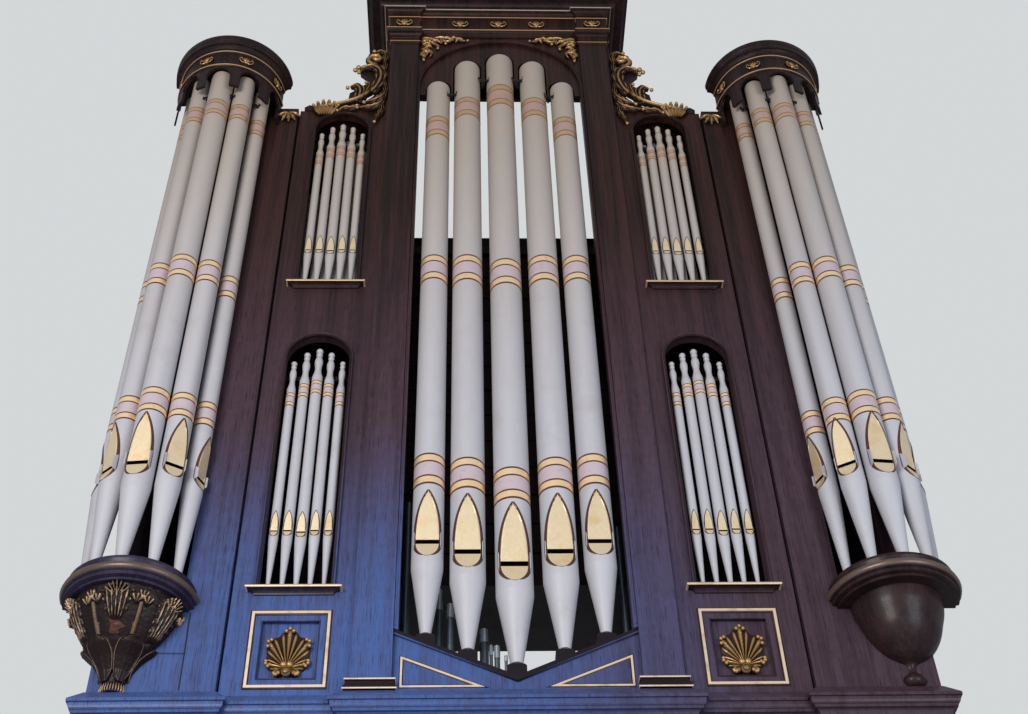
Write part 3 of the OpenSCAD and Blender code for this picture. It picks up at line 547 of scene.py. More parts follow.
def addLeaf(bm, spine, halfWidth, normal=out, lobes=5, height=0.012, along=30, across=12,
            flutes=0.45, thick=0.006, taper=0.75, tail=0.35, ribs=0):
    # a carved leaf: a domed strip with a midrib, slanting flutes and scalloped edges
    layer = bm.verts.layers.float["relief"]
    form = leafForm
    mean, swing = form["ribLift"]
    line = smoothCurve(spine, along)
    side = (line[1] - line[0]).cross(Vector(normal).normalized()).normalized()
    old = (line[1] - line[0]).normalized()
    rows = []
    for i, p in enumerate(line):
        t = i / (along - 1)
        ahead = (line[min(i + 1, along - 1)] - line[max(i - 1, 0)]).normalized()
        side = (old.rotation_difference(ahead) @ side).normalized()
        old = ahead
        above = side.cross(ahead).normalized()
        swell = math.sin(math.pi * min(1, t * form["grow"] + form["from"])) ** taper * (1 - t * form["lessen"])
        swell += tail * (1 - t) ** 2 * form["tailShare"]
        front, back = [], []
        for v in spread(-1, 1, across):
            scallop = 1
            if lobes:
                scallop = abs(math.sin(math.pi * (lobes * (t - form["slant"] * abs(v)) + form["phase"])))
                scallop **= form["scallop"]
            w = halfWidth * max(swell, form["thin"]) * (1 - form["notch"] * (1 - scallop) * v * v)
            dome = math.sqrt(1 - (form["dome"] * v) ** 2)
            groove = 1 - flutes * (1 - scallop) * min(1, abs(v) * form["groove"])
            if ribs:
                level = dome * (mean + swing * math.cos(2 * math.pi * ribs * v)) * groove
            else:
                level = dome * groove * form["domeShare"]
                level += form["midribShare"] * math.exp(-(v / form["midrib"]) ** 2)
            rise = height * level * (form["flat"] + (1 - form["flat"]) * min(1, swell * form["full"]))
            front.append(bm.verts.new(p + side * (w * v) + above * rise))
            front[-1][layer] = min(1, level)
            back.append(bm.verts.new(p + side * (w * v * form["backShare"]) - above * thick))
        rows.append((front, back))
    closeSkin(bm, rows, oneFaceCaps=True)


plainStrip = dict(lobes=0, flutes=0, across=4)      # a leaf without lobes, for scrolls and petals


def addBall(bm, centre, radius, level=0.9, squashY=1.0):
    layer = bm.verts.layers.float["relief"]
    made = bmesh.ops.create_uvsphere(bm, u_segments=12, v_segments=8, radius=radius)
    for v in made["verts"]:
        v.co = Vector((v.co.x, v.co.y * squashY, v.co.z)) + Vector(centre)
        v[layer] = level


def addBerries(bm, y, berries):
    for x, z, radius in berries:
        addBall(bm, up(x, y, z), radius)


scrollForm = {"steps": 22, "fewest": 16, "sink": 0.6, "buttonOut": 0.9, "button": 0.95, "flat": 0.7,
              "strip": dict(plainStrip, across=6, taper=0.35, tail=1.2)}


def addScroll(bm, centre, radius, turns, width, start=0.0, hand=1, y=-0.03, height=0.012, grow=0.2):
    # a volute in the plane of the front: a tapering ribbon that winds up to a button
    (x, z), form = centre, scrollForm
    count = max(form["fewest"], int(form["steps"] * turns))
    pts = []
    for t in spread(0, 1, count - 1):
        r, a = radius * (1 - (1 - grow) * t), start + hand * t * turns * 2 * math.pi
        pts.append((x + r * math.cos(a), y - height * form["sink"] * t, z + r * math.sin(a)))
    addLeaf(bm, pts, width, height=height, along=count, **form["strip"])
    addBall(bm, (x, y - height * form["buttonOut"], z), radius * grow * form["button"], 1.0, form["flat"])


def addMirror(bm):
    # copies everything in bm across the centre line, faces still outwards
    made = bmesh.ops.duplicate(bm, geom=bm.verts[:] + bm.edges[:] + bm.faces[:])["geom"]
    for v in (g for g in made if isinstance(g, bmesh.types.BMVert)):
        v.co.x = -v.co.x
    bmesh.ops.reverse_faces(bm, faces=[g for g in made if isinstance(g, bmesh.types.BMFace)])


def addHull(bm, points):
    made = bmesh.ops.convex_hull(bm, input=[bm.verts.new(q) for q in points])
    inside = [g for g in made["geom_interior"] if isinstance(g, bmesh.types.BMVert)]
    bmesh.ops.delete(bm, geom=inside, context="VERTS")


def fixNormals(bm):
    bmesh.ops.recalc_face_normals(bm, faces=bm.faces)


# Geometry Nodes: trees that turn points and paths into pieces

socketKind = {int: "NodeSocketInt", float: "NodeSocketFloat"}


def newNodeTree(name, inputs):
    tree = bpy.data.node_groups.new(name, "GeometryNodeTree")
    tree.interface.new_socket("Geometry", in_out="INPUT", socket_type="NodeSocketGeometry")
    ids = {}
    for label, value in inputs.items():
        socket = tree.interface.new_socket(label, in_out="INPUT", socket_type=socketKind[type(value)])
        socket.default_value = value
        ids[label] = socket.identifier
    tree.interface.new_socket("Geometry", in_out="OUTPUT", socket_type="NodeSocketGeometry")
    return tree, tree.nodes.new("NodeGroupInput").outputs, ids


def putOut(tree, geometry, finishName):
    real = node(tree, "GeometryNodeRealizeInstances", {"Geometry": geometry})
    paint = node(tree, "GeometryNodeSetMaterial", {
        "Geometry": real.outputs["Geometry"], "Material": finish[finishName]})
    node(tree, "NodeGroupOutput", {"Geometry": paint.outputs["Geometry"]})


def namedVector(tree, name):
    made = node(tree, "GeometryNodeInputNamedAttribute", {"Name": name}, data_type="FLOAT_VECTOR")
    return made.outputs["Attribute"]


def pointsObject(name, points, attributes):
    # loose points with a vector for each attribute
    mesh = plainMesh(name, points)
    for key, values in attributes.items():
        layer = mesh.attributes.new(key, "FLOAT_VECTOR", "POINT")
        layer.data.foreach_set("vector", [c for v in values for c in v])
    return addObject(name, mesh)


def bake(obj, built, values, finishName):
    # turns what a tree makes of obj into a plain mesh of its own
    tree, ids = built
    mod = obj.modifiers.new("build", "NODES")
    mod.node_group = tree
    for label, value in values.items():
        mod[ids[label]] = value
    mesh = bpy.data.meshes.new_from_object(obj.evaluated_get(bpy.context.evaluated_depsgraph_get()))
    old = obj.data
    obj.modifiers.clear()
    obj.data = mesh
    bpy.data.meshes.remove(old)
    mesh.name = obj.name
    mesh.shade_smooth()
    mesh.set_sharp_from_angle(angle=sharpFrom)
    mesh.materials.clear()
    mesh.materials.append(finish[finishName])
    declare(obj)
    return obj


# Pipes: where each one stands and where its mouth and bands are

pipes = {
    "groups": ("centre", "flat", "tower"), "wide": 0.170, "lipShare": 0.6, "bandOver": 0.0007, "centreY": 0.012,
    "footShare": (2.7, 2.82, 2.82, 2.82, 2.7),
    "lowBands": ((1.089, 1.279), (1.056, 1.246), (0.990, 1.182), (1.056, 1.246), (1.085, 1.275)),
    "midBands": ((2.524, 2.721), (2.508, 2.714), (2.474, 2.678), (2.508, 2.714), (2.524, 2.721)),
    "topBands": ((3.828, 4.021), (4.023, 4.213), (4.134, 4.348), (4.023, 4.213), (3.828, 4.021)),
    "flatPitch": 0.062, "flatY": 0.030, "flatBand": (0.235, 0.148), "flatTip": 2.2,
    "flatWide": (0.044, 0.049, 0.053, 0.049, 0.044), "flatRise": (-0.083, -0.022, 0.0, -0.022, -0.083),
    "flatMouths": (0.322, 0.292), "flatDrop": (0.004, 0.004, -0.006, 0.004, 0.004),
    "ringR": 0.218, "ringStep": 36.0, "ringTurn": 5.0, "towerMouth": 1.040,
    "towerWide": (0.098, 0.118, 0.135, 0.118, 0.098), "towerTip": 0.300, "towerStep": 0.018,
    "towerBands": ((1.352, 1.502), (2.298, 2.460), (3.720, 3.862)), "outerLift": 0.045,
    "rightDrop": (0.060, 0.032, 0.018, 0.010, 0.0),
}


def pipeOf(group, x, y, wide, slot, above, bands, turn=0.0, lipWide=None):
    return dict(group=group, x=x, y=y, r=wide / 2, turn=turn, slot=slot, tip=slot + above, bands=bands,
                lip=slot - (lipWide or wide) * pipes["lipShare"])


def ringAngle(i):
    return math.radians((i - 2) * pipes["ringStep"] + pipes["ringTurn"])


def listPipes():
    found = []
    for i in range(5):
        low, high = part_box(f"centre_pipe_{i + 1}")
        wide = high.x - low.x
        slot = low.z - impost + pipes["wide"] * pipes["footShare"][i]
        bands = [pipes[k][i] for k in ("lowBands", "midBands", "topBands")]
        found.append(pipeOf("centre", (low.x + high.x) / 2, pipes["centreY"], wide, slot, 2 * wide, bands))
    middle = pipes["flatWide"][2]
    for side in (-1, 1):
        for sill, arch, mouthHigh in zip(flats["sills"], flats["arches"], pipes["flatMouths"]):
            for i in range(5):
                top = arch + pipes["flatRise"][i]
                slot = sill + flats["shelf"] + mouthHigh + pipes["flatDrop"][i]
                found.append(pipeOf(
                    "flat", side * (flats["x"] + (i - 2) * pipes["flatPitch"]), pipes["flatY"],
                    pipes["flatWide"][i], slot, pipes["flatTip"] * middle,
                    [[top - down for down in pipes["flatBand"]]], lipWide=middle))
        for i in range(5):
            a, off = ringAngle(i), pipes["towerStep"] * abs(i - 2)
            lift = pipes["outerLift"] * (i in (0, 4)) - (pipes["rightDrop"][i] if side > 0 else 0)
            lowBand, *others = pipes["towerBands"]
            found.append(pipeOf(
                "tower", side * (towerX + pipes["ringR"] * math.sin(a)), -pipes["ringR"] * math.cos(a),
                pipes["towerWide"][i], pipes["towerMouth"] + off, pipes["towerTip"] - off,
                [[z + lift for z in lowBand], *others], side * a))
    return found


allPipes = listPipes()
bands = {"sides": 56, "wall": 0.03, "outer": 1.015}


def bandTree():
    # a closed ring on every point, scaled by the point's ringSize
    tree, given, ids = newNodeTree("pipeBands", {"Sides": bands["sides"], "Wall": bands["wall"]})
    circle = node(tree, "GeometryNodeCurvePrimitiveCircle", {"Resolution": given["Sides"], "Radius": 1.0})
    profile = node(tree, "GeometryNodeCurvePrimitiveQuadrilateral", {"Width": given["Wall"], "Height": 1.0})
    sweep = node(tree, "GeometryNodeCurveToMesh", {
        "Curve": circle.outputs["Curve"], "Profile Curve": profile.outputs["Curve"]})
    place = axes(node(tree, "GeometryNodeInputPosition").outputs[0])
    store = node(tree, "GeometryNodeStoreNamedAttribute", {
        "Geometry": sweep.outputs["Mesh"], "Name": "bandHeight", "Value": calc("ADD", place["Z"], 0.5)},
        data_type="FLOAT", domain="POINT")
    put = node(tree, "GeometryNodeInstanceOnPoints", {
        "Points": given["Geometry"], "Instance": store.outputs["Geometry"], "Scale": namedVector(tree, "ringSize")})
    putOut(tree, put.outputs["Instances"], "bands")
    return tree, ids


def makeBands(group, built):
    points, sizes = [], []
    for p in (q for q in allPipes if q["group"] == group):
        for low, high in p["bands"]:
            ring = (p["r"] + pipes["bandOver"]) / bands["outer"]
            points.append(up(p["x"], p["y"], (low + high) / 2))
            sizes.append((ring, ring, high - low))
    obj = pointsObject(f"{group}_bands", points, {"ringSize": sizes})
    bake(obj, built, {"Sides": bands["sides"], "Wall": bands["wall"]}, "bands")
    print(obj.name, len(obj.data.polygons), "faces")


ringTree = bandTree()
for group in pipes["groups"]:
    makeBands(group, ringTree)


# Mouths: gold leaf with a brown outline, a slot filled with painted shadow, and small ears

mouth = {
    "wide": 0.80, "deep": 0.36, "arch": 3.0, "halfColumns": {"centre": 14, "flat": 6, "tower": 14},
    "slotHalf": 0.13, "slotTop": 0.25, "slotLow": 0.07, "slotDeep": 0.22, "slotOver": 0.0006,
    "slotRows": 4, "slotSpan": (1.1, 0.9), "slotWide": 0.97, "slotSink": 0.02, "slotTall": 0.95, "slotStep": 0.004,
    "leafOver": 0.0014, "leafThick": 0.0018, "leafTrim": 0.026, "leafRows": (22, 8), "leafEnds": (0.995, 0.99),
    "narrow": 0.0008, "crowd": 1.5,
    "lineWide": 0.130, "lineThick": 0.003, "lineSteps": (12, 22),
    # across the line: share of its width from the leaf's edge, height over the skin, furthest share of the radius
    "lineForm": ((-0.70, 0.0007, 1.0), (-0.45, 0.0026, 1.0), (0.20, 0.00208, 0.97), (0.60, 0.0006, 0.985)),
    "earHigh": {"centre": 0.95, "flat": 0.95, "tower": 1.20}, "earLow": 0.35, "earThick": 0.040,
    "earOut": {"centre": 0.16, "flat": 0.16, "tower": 0.34}, "earIn": 0.06,
    "earSides": (0.2, 1.2), "earFront": (0.7, 0.72),
}


def mouthWidth(p, h):
    # half width of the painted mouth at height h above the slot
    w = mouth["wide"] * p["r"]
    if h >= 0:
        return w * max(1 - (h / (p["tip"] - p["slot"])) ** mouth["arch"], 0)
    return w * math.sqrt(max(1 - (h / (p["slot"] - p["lip"])) ** 2, 0))


def cutWidth(p, h):
    # half width of the pressed part in the solid pipe
    w = mouth["wide"] * p["r"]
    if h >= 0:
        tall = p["tip"] - p["slot"]
        arc = (w * w + tall * tall) / (2 * w)
        return max(math.sqrt(max(arc * arc - h * h, 0)) - (arc - w), 0)
    down = -h - (p["slot"] - p["lip"] - w)
    return w if down <= 0 else math.sqrt(max(w * w - down * down, 0))


def mouthSurface(p, x, h):
    # how far the pipe's skin lies in front of its axis, pressed in towards the slot
    skin = math.sqrt(max(p["r"] ** 2 - x * x, 0))
    if abs(x) > cutWidth(p, h):
        return skin
    tall = p["tip"] - p["slot"] if h >= 0 else p["slot"] - p["lip"]
    return min(skin, p["r"] * (1 - mouth["deep"] * max(0, 1 - abs(h) / tall)))


def onPipe(p, x, ahead, h):
    # x across the pipe, ahead of its axis, h above its slot
    c, s = math.cos(p["turn"]), math.sin(p["turn"])
    return Vector(up(p["x"] + x * c + ahead * s, p["y"] + x * s - ahead * c, p["slot"] + h))


def addSheet(bm, p, grid, thick):
    # a thin closed solid from a grid of points on a pipe
    inward = (onPipe(p, 0, 0, 0) - onPipe(p, 0, 1, 0)) * thick
    closeSkin(bm, [([bm.verts.new(q) for q in row], [bm.verts.new(q + inward) for q in row]) for row in grid])


def mouthGrid(p, start, end, steps, over):
    grid = []
    for t in spread(1, 0, steps):
        h = start + (end - start) * (1 - t ** mouth["crowd"])
        w = max(mouthWidth(p, h) - mouth["leafTrim"] * p["r"], mouth["narrow"])
        row = (w * math.sin(a) for a in spread(-math.pi / 2, math.pi / 2, 2 * mouth["halfColumns"][p["group"]]))
        grid.append([onPipe(p, x, mouthSurface(p, x, h) + over, h) for x in row])
    return grid


def addMouth(gold, line, dark, ears, p):
    r, group = p["r"], p["group"]
    tall, drop, w = p["tip"] - p["slot"], p["slot"] - p["lip"], mouth["wide"] * r
    top, low, half = mouth["slotTop"] * r, mouth["slotLow"] * r, mouth["slotHalf"] * r
    (highEnd, lowEnd), (highRows, lowRows), (slotTop, slotLow) = (
        mouth[k] for k in ("leafEnds", "leafRows", "slotSpan"))
    # two gold sheets, then a sheet of painted shadow round the slot
    for bm, start, end, steps, over, thick in (
            (gold, top, tall * highEnd, highRows, mouth["leafOver"], mouth["leafThick"]),
            (gold, -low, -drop * lowEnd, lowRows, mouth["leafOver"], mouth["leafThick"]),
            (dark, top * slotTop, half * slotLow, mouth["slotRows"], mouth["slotOver"], mouth["lineThick"])):
        addSheet(bm, p, mouthGrid(p, start, end, steps, over), thick)
    lowSteps, highSteps = mouth["lineSteps"]
    for side in (-1, 1):
        grid = []
        for h in spread(-drop, 0, lowSteps)[:-1] + spread(0, tall, highSteps):
            row = ((min(max(mouthWidth(p, h) + share * mouth["lineWide"] * r, 0), most * r), over)
                   for share, over, most in mouth["lineForm"])
            grid.append([onPipe(p, side * x, mouthSurface(p, x, h) + over, h) for x, over in row])
        addSheet(line, p, grid, mouth["lineThick"])
    # a block of painted shadow filling the slot
    front, half = r * (1 - mouth["deep"] - mouth["slotSink"]), half * mouth["slotTall"]
    back, side = front - mouth["slotDeep"] * r, w * mouth["slotWide"]
    addHull(dark, [onPipe(p, x, a, h) for x in (-side, side)
                   for a, h in ((back, -half), (back, half), (back - mouth["slotStep"], -half), (front, half))])
    base, thick, back = mouthSurface(p, w, 0.0), mouth["earThick"] * r, -mouth["earIn"] * r
    low, high, reach = mouth["earLow"] * r, mouth["earHigh"][group] * r, mouth["earOut"][group] * r
    frontLow, frontHigh = mouth["earFront"]
    for side in (-1, 1):
        addHull(ears, [onPipe(p, side * (w + share * thick), base + a, h) for share in mouth["earSides"]
                       for a, h in ((back, -low), (back, high), (reach, -low * frontLow), (reach, high * frontHigh))])


def makeMouths(group):
    gold, line, dark, ears = (bmesh.new() for _ in range(4))
    for p in (q for q in allPipes if q["group"] == group):
        addMouth(gold, line, dark, ears, p)
    for bm, name, finishName, smooth in (
            (gold, "leaf", "goldLeaf", True), (line, "outline", "outline", True),
            (ears, "ears", "pipePaint", False), (dark, "slot", "slotDark", False)):
        fixNormals(bm)
        pieceFromBmesh(f"{group}_mouth_{name}", bm, finishName, smooth=smooth)


for group in pipes["groups"]:
    makeMouths(group)
print("mouths:", len(allPipes))


# Gilt lines: half-round beads along the mouldings

beadSides = 10


def beadTree():
    # a round bead along every chain of edges
    tree, given, ids = newNodeTree("giltBead", {"Radius": 0.004, "Sides": beadSides})
    curve = node(tree, "GeometryNodeMeshToCurve", {"Mesh": given["Geometry"]})
    circle = node(tree, "GeometryNodeCurvePrimitiveCircle", {
        "Resolution": given["Sides"], "Radius": given["Radius"]})
    sweep = node(tree, "GeometryNodeCurveToMesh", {
        "Curve": curve.outputs["Curve"], "Profile Curve": circle.outputs["Curve"], "Fill Caps": True})
    putOut(tree, sweep.outputs["Mesh"], "giltLine")
    return tree, ids


beadNodes = beadTree()


def makeBeads(name, paths, radius, finishName="giltLine"):
    verts, edges = [], []
    for path in paths:
        closed = (Vector(path[0]) - Vector(path[-1])).length < 1e-6
        pts = path[:-1] if closed else path
        first = len(verts)
        verts += pts
        edges += [(first + i, first + i + 1) for i in range(len(pts) - 1)]
        if closed:
            edges.append((first + len(pts) - 1, first))
    path = addObject(name, plainMesh(name, verts, edges))
    bake(path, beadNodes, {"Radius": radius, "Sides": beadSides}, finishName)


lines = {
    "sillHalf": 0.207, "sillOut": 0.044, "sillLow": 0.007, "sillRound": 0.0062,
    "pilIn": 0.527, "pilOut": 0.702, "pilFront": 0.030, "round": 0.004,
    # height and reach of each line
    "bases": ((0.002, 0.023), (0.050, 0.017)), "capital": (4.892, 0.009),
    "blocks": ((5.041, 0.014), (5.180, 0.006)), "blockFront": 0.036, "blockWider": 0.023, "blockBack": 0.06,
    "frieze": ((5.052, 0.024), (5.221, 0.014)),
    "crownR": 0.322, "crownHeights": (4.169, 4.310), "ringHalf": 0.478 * math.pi,
    "rimR": 0.2800, "rimZ": 0.4590, "rimRound": 0.0205,
}


def lineRound(x0, x1, front, z, back=0.0):
    # a line round the front and the sides of a block
    return [up(x0, 0, z), up(x0, front, z), up(x1, front, z), up(x1, back, z)]


def halfRing(x, radius, z, steps):
    return [ringPoint(x, radius, a, z) for a in spread(-lines["ringHalf"], lines["ringHalf"], steps)]


def makeSillEdges():
    # the gilt front edge of each sill
    x, half, reach = flats["x"], lines["sillHalf"], lines["sillOut"]
    paths = []
    for z in flats["sills"]:
        paths += both(lineRound(x - half, x + half, -reach, z - lines["sillLow"]))
    makeBeads("sill_edges", paths, lines["sillRound"])


def makeGiltLines():
    paths = []
    x0, x1, y = lines["pilIn"], lines["pilOut"], -lines["pilFront"]
    for z, reach in lines["bases"]:
        paths += both(lineRound(x0 - reach, x1 + reach, y - reach, z))
    z, reach = lines["capital"]
    paths += both([up(x0, 0, z), *lineRound(x0 - reach, x1 + reach, y - reach, z)[1:]])
    for z, reach in lines["blocks"]:
        paths += both(lineRound(x0 - reach, x1 + lines["blockWider"] + reach, -lines["blockFront"] - reach, z,
                                lines["blockBack"]))
    for z, reach in lines["frieze"]:
        paths.append([up(-x0, -reach, z), up(x0, -reach, z)])
    for z in lines["crownHeights"]:
        paths += both(halfRing(towerX, lines["crownR"], z, 36))
    makeBeads("gilt_lines", paths, lines["round"])


makeSillEdges()
makeGiltLines()

# beads round the arched openings; for the centre one its foot, the arch's centre and radius, depth and steps
arches = {"over": 0.014, "round": 0.0045, "front": 0.014, "steps": 28, "centre": (0.330, 4.400, 0.507, 0.020, 60)}


def archPath(x, low, centre, radius, front, steps):
    r = radius + arches["over"]
    arc = [up(x + r * math.cos(a), -front, centre + r * math.sin(a)) for a in spread(0, math.pi, steps)]
    return [up(x + r, -front, low)] + arc + [up(x - r, -front, low)]


def makeArchBeads():
    paths = []
    for sill, centre in zip(flats["sills"], flats["arches"]):
        paths += both(archPath(flats["x"], sill, centre, flats["half"], arches["front"], arches["steps"]))
    paths.append(archPath(0, *arches["centre"]))
    makeBeads("arch_beads", paths, arches["round"], "mahogany")


makeArchBeads()

# Grey bead under the cornice, dark beads round the holes in the shades, and painted shadow lines beside the gilt ones
shades = {
    "bedZ": 5.268, "bedStep": 0.489, "bedFar": 0.761, "bedIn": 0.045, "bedOut": 0.071, "bedBack": 0.30,
    "bedRound": 0.0045, "holeR": 0.317, "holeTop": 4.144, "holeGap": 0.007, "holeTurn": 1.47, "holeRound": 0.0042,
    "holeOver": 0.05, "holeSteps": 28,
    "tailX": 1.988, "tailY": -0.008, "tailRound": 0.006, "tailTall": 0.150,
    # painted shadow lines round the square panels: distance inside the frame, depth and radius of each line
    "panelZ": (0.036, 0.417), "panelHalf": 0.170,
    "frames": ((-0.004, 0.0, 0.0040), (0.0145, 0.0030, 0.0034), (0.0455, 0.0055, 0.0042)),
    "seams": (((-1.400, 0.016), (-1.402, 0.400)), ((-1.545, 0.197), (-1.402, 0.195))), "seamRound": 0.0032,
}


def makeBedLine():
    z, step, far, y = shades["bedZ"], shades["bedStep"], shades["bedFar"], -shades["bedOut"]
    paths = both([up(step, -shades["bedIn"], z), up(step, y, z), up(far, y, z), up(far, shades["bedBack"], z)])
    paths.append([up(-step, -shades["bedIn"], z), up(step, -shades["bedIn"], z)])
    makeBeads("cornice_lines", paths, shades["bedRound"], "pipePaint")


def makeShadeBeads():
    paths = []
    for i, wide in enumerate(pipes["towerWide"]):
        hole = wide / 2 + shades["holeGap"]
        path = []
        over = shades["holeOver"] * math.pi
        for t in spread(-over, math.pi + over, shades["holeSteps"]):
            a = ringAngle(i) + math.asin(hole * math.cos(t) / shades["holeR"])
            if abs(a) < shades["holeTurn"]:
                z = shades["holeTop"] + hole * (math.sin(t) - 1)
                path.append(ringPoint(towerX, shades["holeR"], a, z))
        paths += both(path)
    makeBeads("shade_beads", paths, shades["holeRound"], "darkMahogany")


def makeShadeTails():
    # the drop at the wall end of each shade
    x, y, low = shades["tailX"], shades["tailY"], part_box("tower_shades")[0].z
    tail = [(x, y, low + shades["tailRound"]), (x, y, low + shades["tailTall"])]
    makeBeads("shade_tails", both(tail), shades["tailRound"], "darkMahogany")


def makePanelShadowsAndSeams():
    low, high = shades["panelZ"]
    # painted shadow lines outside the gilt frame, inside it and round the recess
    for k, (inset, y, radius) in enumerate(shades["frames"]):
        half = shades["panelHalf"] - inset
        corners = [(-half, low + inset), (half, low + inset), (half, high - inset), (-half, high - inset)]
        frameLine = [up(flats["x"] + x, y, z) for x, z in corners + corners[:2]]
        makeBeads(f"panel_lines_{k + 1}", both(frameLine), radius, "darkMahogany")
    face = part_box("end_front_left")[0].y
    seams = [[up(x, face, z) for x, z in seam] for seam in shades["seams"]]
    makeBeads("board_seams", seams, shades["seamRound"], "darkMahogany")


makeBedLine()
makeShadeBeads()
makeShadeTails()
makePanelShadowsAndSeams()
print("gilt lines and beads")


# Carving: shells, scrolls, spandrel leaves, flowers and the corbels

def onWall(points, y):
    return [up(x, y - lift, z) for x, z, lift in points]


shell = {
    "z": 0.216, "y": 0.022, "round": 0.100, "root": 0.066, "sink": 0.084, "stretch": 1.22,
    "lobes": 7, "first": -24, "step": 38.0, "from": -44, "rows": 20, "columns": 160, "ribs": 3, "notch": 0.10,
    "high": 0.020, "base": 0.004, "back": 0.006, "hub": 0.04, "rimFrom": 0.86,
    # beads on each lobe: angle from its middle, share of its reach and radius
    "beads": ((-0.10, 0.95, 0.0085), (0.10, 0.95, 0.0085), (0.0, 0.99, 0.0085), (0.0, 0.80, 0.0070)),
    "beadOut": 0.018, "beadTone": 0.85, "notchEdge": 2.5,
    # across the fan: start, growth and power of its dome; depth and power of the splits; least lift and tone
    "dome": (0.12, 0.80, 0.6), "rimDrop": 0.5, "split": (0.75, 6), "leastLift": 0.45, "tone": (0.24, 0.90),
    # balls at the root: side, distance in front, height, radius, tone and flatness; a scroll on each side; a ring
    "bosses": ((0, 0.020, -0.016, 0.022, 0.7, 0.7), (-0.013, 0.026, 0.016, 0.0145, 0.85, 0.8),
               (0.013, 0.026, 0.016, 0.0145, 0.85, 0.8)),
    "scroll": (0.016, 1.2, 0.007), "scrollX": 0.034, "scrollZ": -0.018, "scrollOut": 0.014,
    "ringR": 0.014, "ringOut": 0.035, "ringZ": -0.016, "ringHalf": 0.003,
    "ring": dict(plainStrip, height=0.004, along=24, thick=0.002, taper=0.1, tail=0),
}


def shellReach(a):
    reach = shell["root"] * math.sin(a) + math.sqrt(shell["round"] ** 2 - (shell["root"] * math.cos(a)) ** 2)
    lobe = abs(math.sin(math.pi * (math.degrees(a) - shell["first"]) / shell["step"]))
    return reach * (1 - shell["notch"] * lobe ** shell["notchEdge"])


def addShell(bm, x0, z0, y):
    # a ribbed fan that grows from a root low down to a round lobed outline, a cluster on each lobe
    layer = bm.verts.layers.float["relief"]
    low = z0 - shell["sink"]

    def at(a, t, lift):
        reach = shellReach(a)
        return up(x0 + reach * t * math.cos(a), y - lift, low + shell["stretch"] * reach * t * math.sin(a))
    (begin, grow, power), (splitDeep, splitEdge), (tone, ribTone) = (shell[k] for k in ("dome", "split", "tone"))
    rows = []
    for t in spread(shell["hub"], 1, shell["rows"]):
        dome = math.sin(math.pi * min(1, begin + grow * t)) ** power
        rim = 1 - shell["rimDrop"] * max(0, t - shell["rimFrom"]) / (1 - shell["rimFrom"])
        front, back = [], []
        for degrees in spread(shell["from"], 180 - shell["from"], shell["columns"]):
            a, turn = math.radians(degrees), (degrees - shell["first"]) / shell["step"]
            rib = 0.5 + 0.5 * math.cos(2 * math.pi * shell["ribs"] * turn)
            split = 1 - splitDeep * abs(math.sin(math.pi * turn)) ** splitEdge * t
            ribbed = shell["leastLift"] + (1 - shell["leastLift"]) * rib
            front.append(bm.verts.new(at(a, t, shell["base"] + shell["high"] * dome * split * ribbed * rim)))
            front[-1][layer] = min(1, (tone + ribTone * rib) * split * rim)
            back.append(bm.verts.new(at(a, t, -shell["back"])))
        rows.append((front, back))
    closeSkin(bm, rows)
    for k in range(shell["lobes"]):
        a = math.radians(shell["first"] + k * shell["step"])
        for da, t, size in shell["beads"]:
            addBall(bm, at(a + da, t, shell["beadOut"]), size, shell["beadTone"])
    for x, over, z, *ball in shell["bosses"]:
        addBall(bm, up(x0 + x, y - over, low + z), *ball)
    for s in (-1, 1):
        centre = (x0 + s * shell["scrollX"], impost + low + shell["scrollZ"])
        addScroll(bm, centre, *shell["scroll"], start=math.pi / 2, hand=-s, y=y - shell["scrollOut"])
    r = shell["ringR"]
    ring = [up(x0 + r * math.cos(t), y - shell["ringOut"], low + shell["ringZ"] + r * math.sin(t))
            for t in spread(0, 2 * math.pi, 12)]
    addLeaf(bm, ring, shell["ringHalf"], **shell["ring"])


def makeShells():
    bm = newRelief()
    addShell(bm, flats["x"], shell["z"], shell["y"])
    addMirror(bm)
    pieceFromBmesh("square_panel_shells", bm, "antiqueGilt", ["carved_shells"])


makeShells()


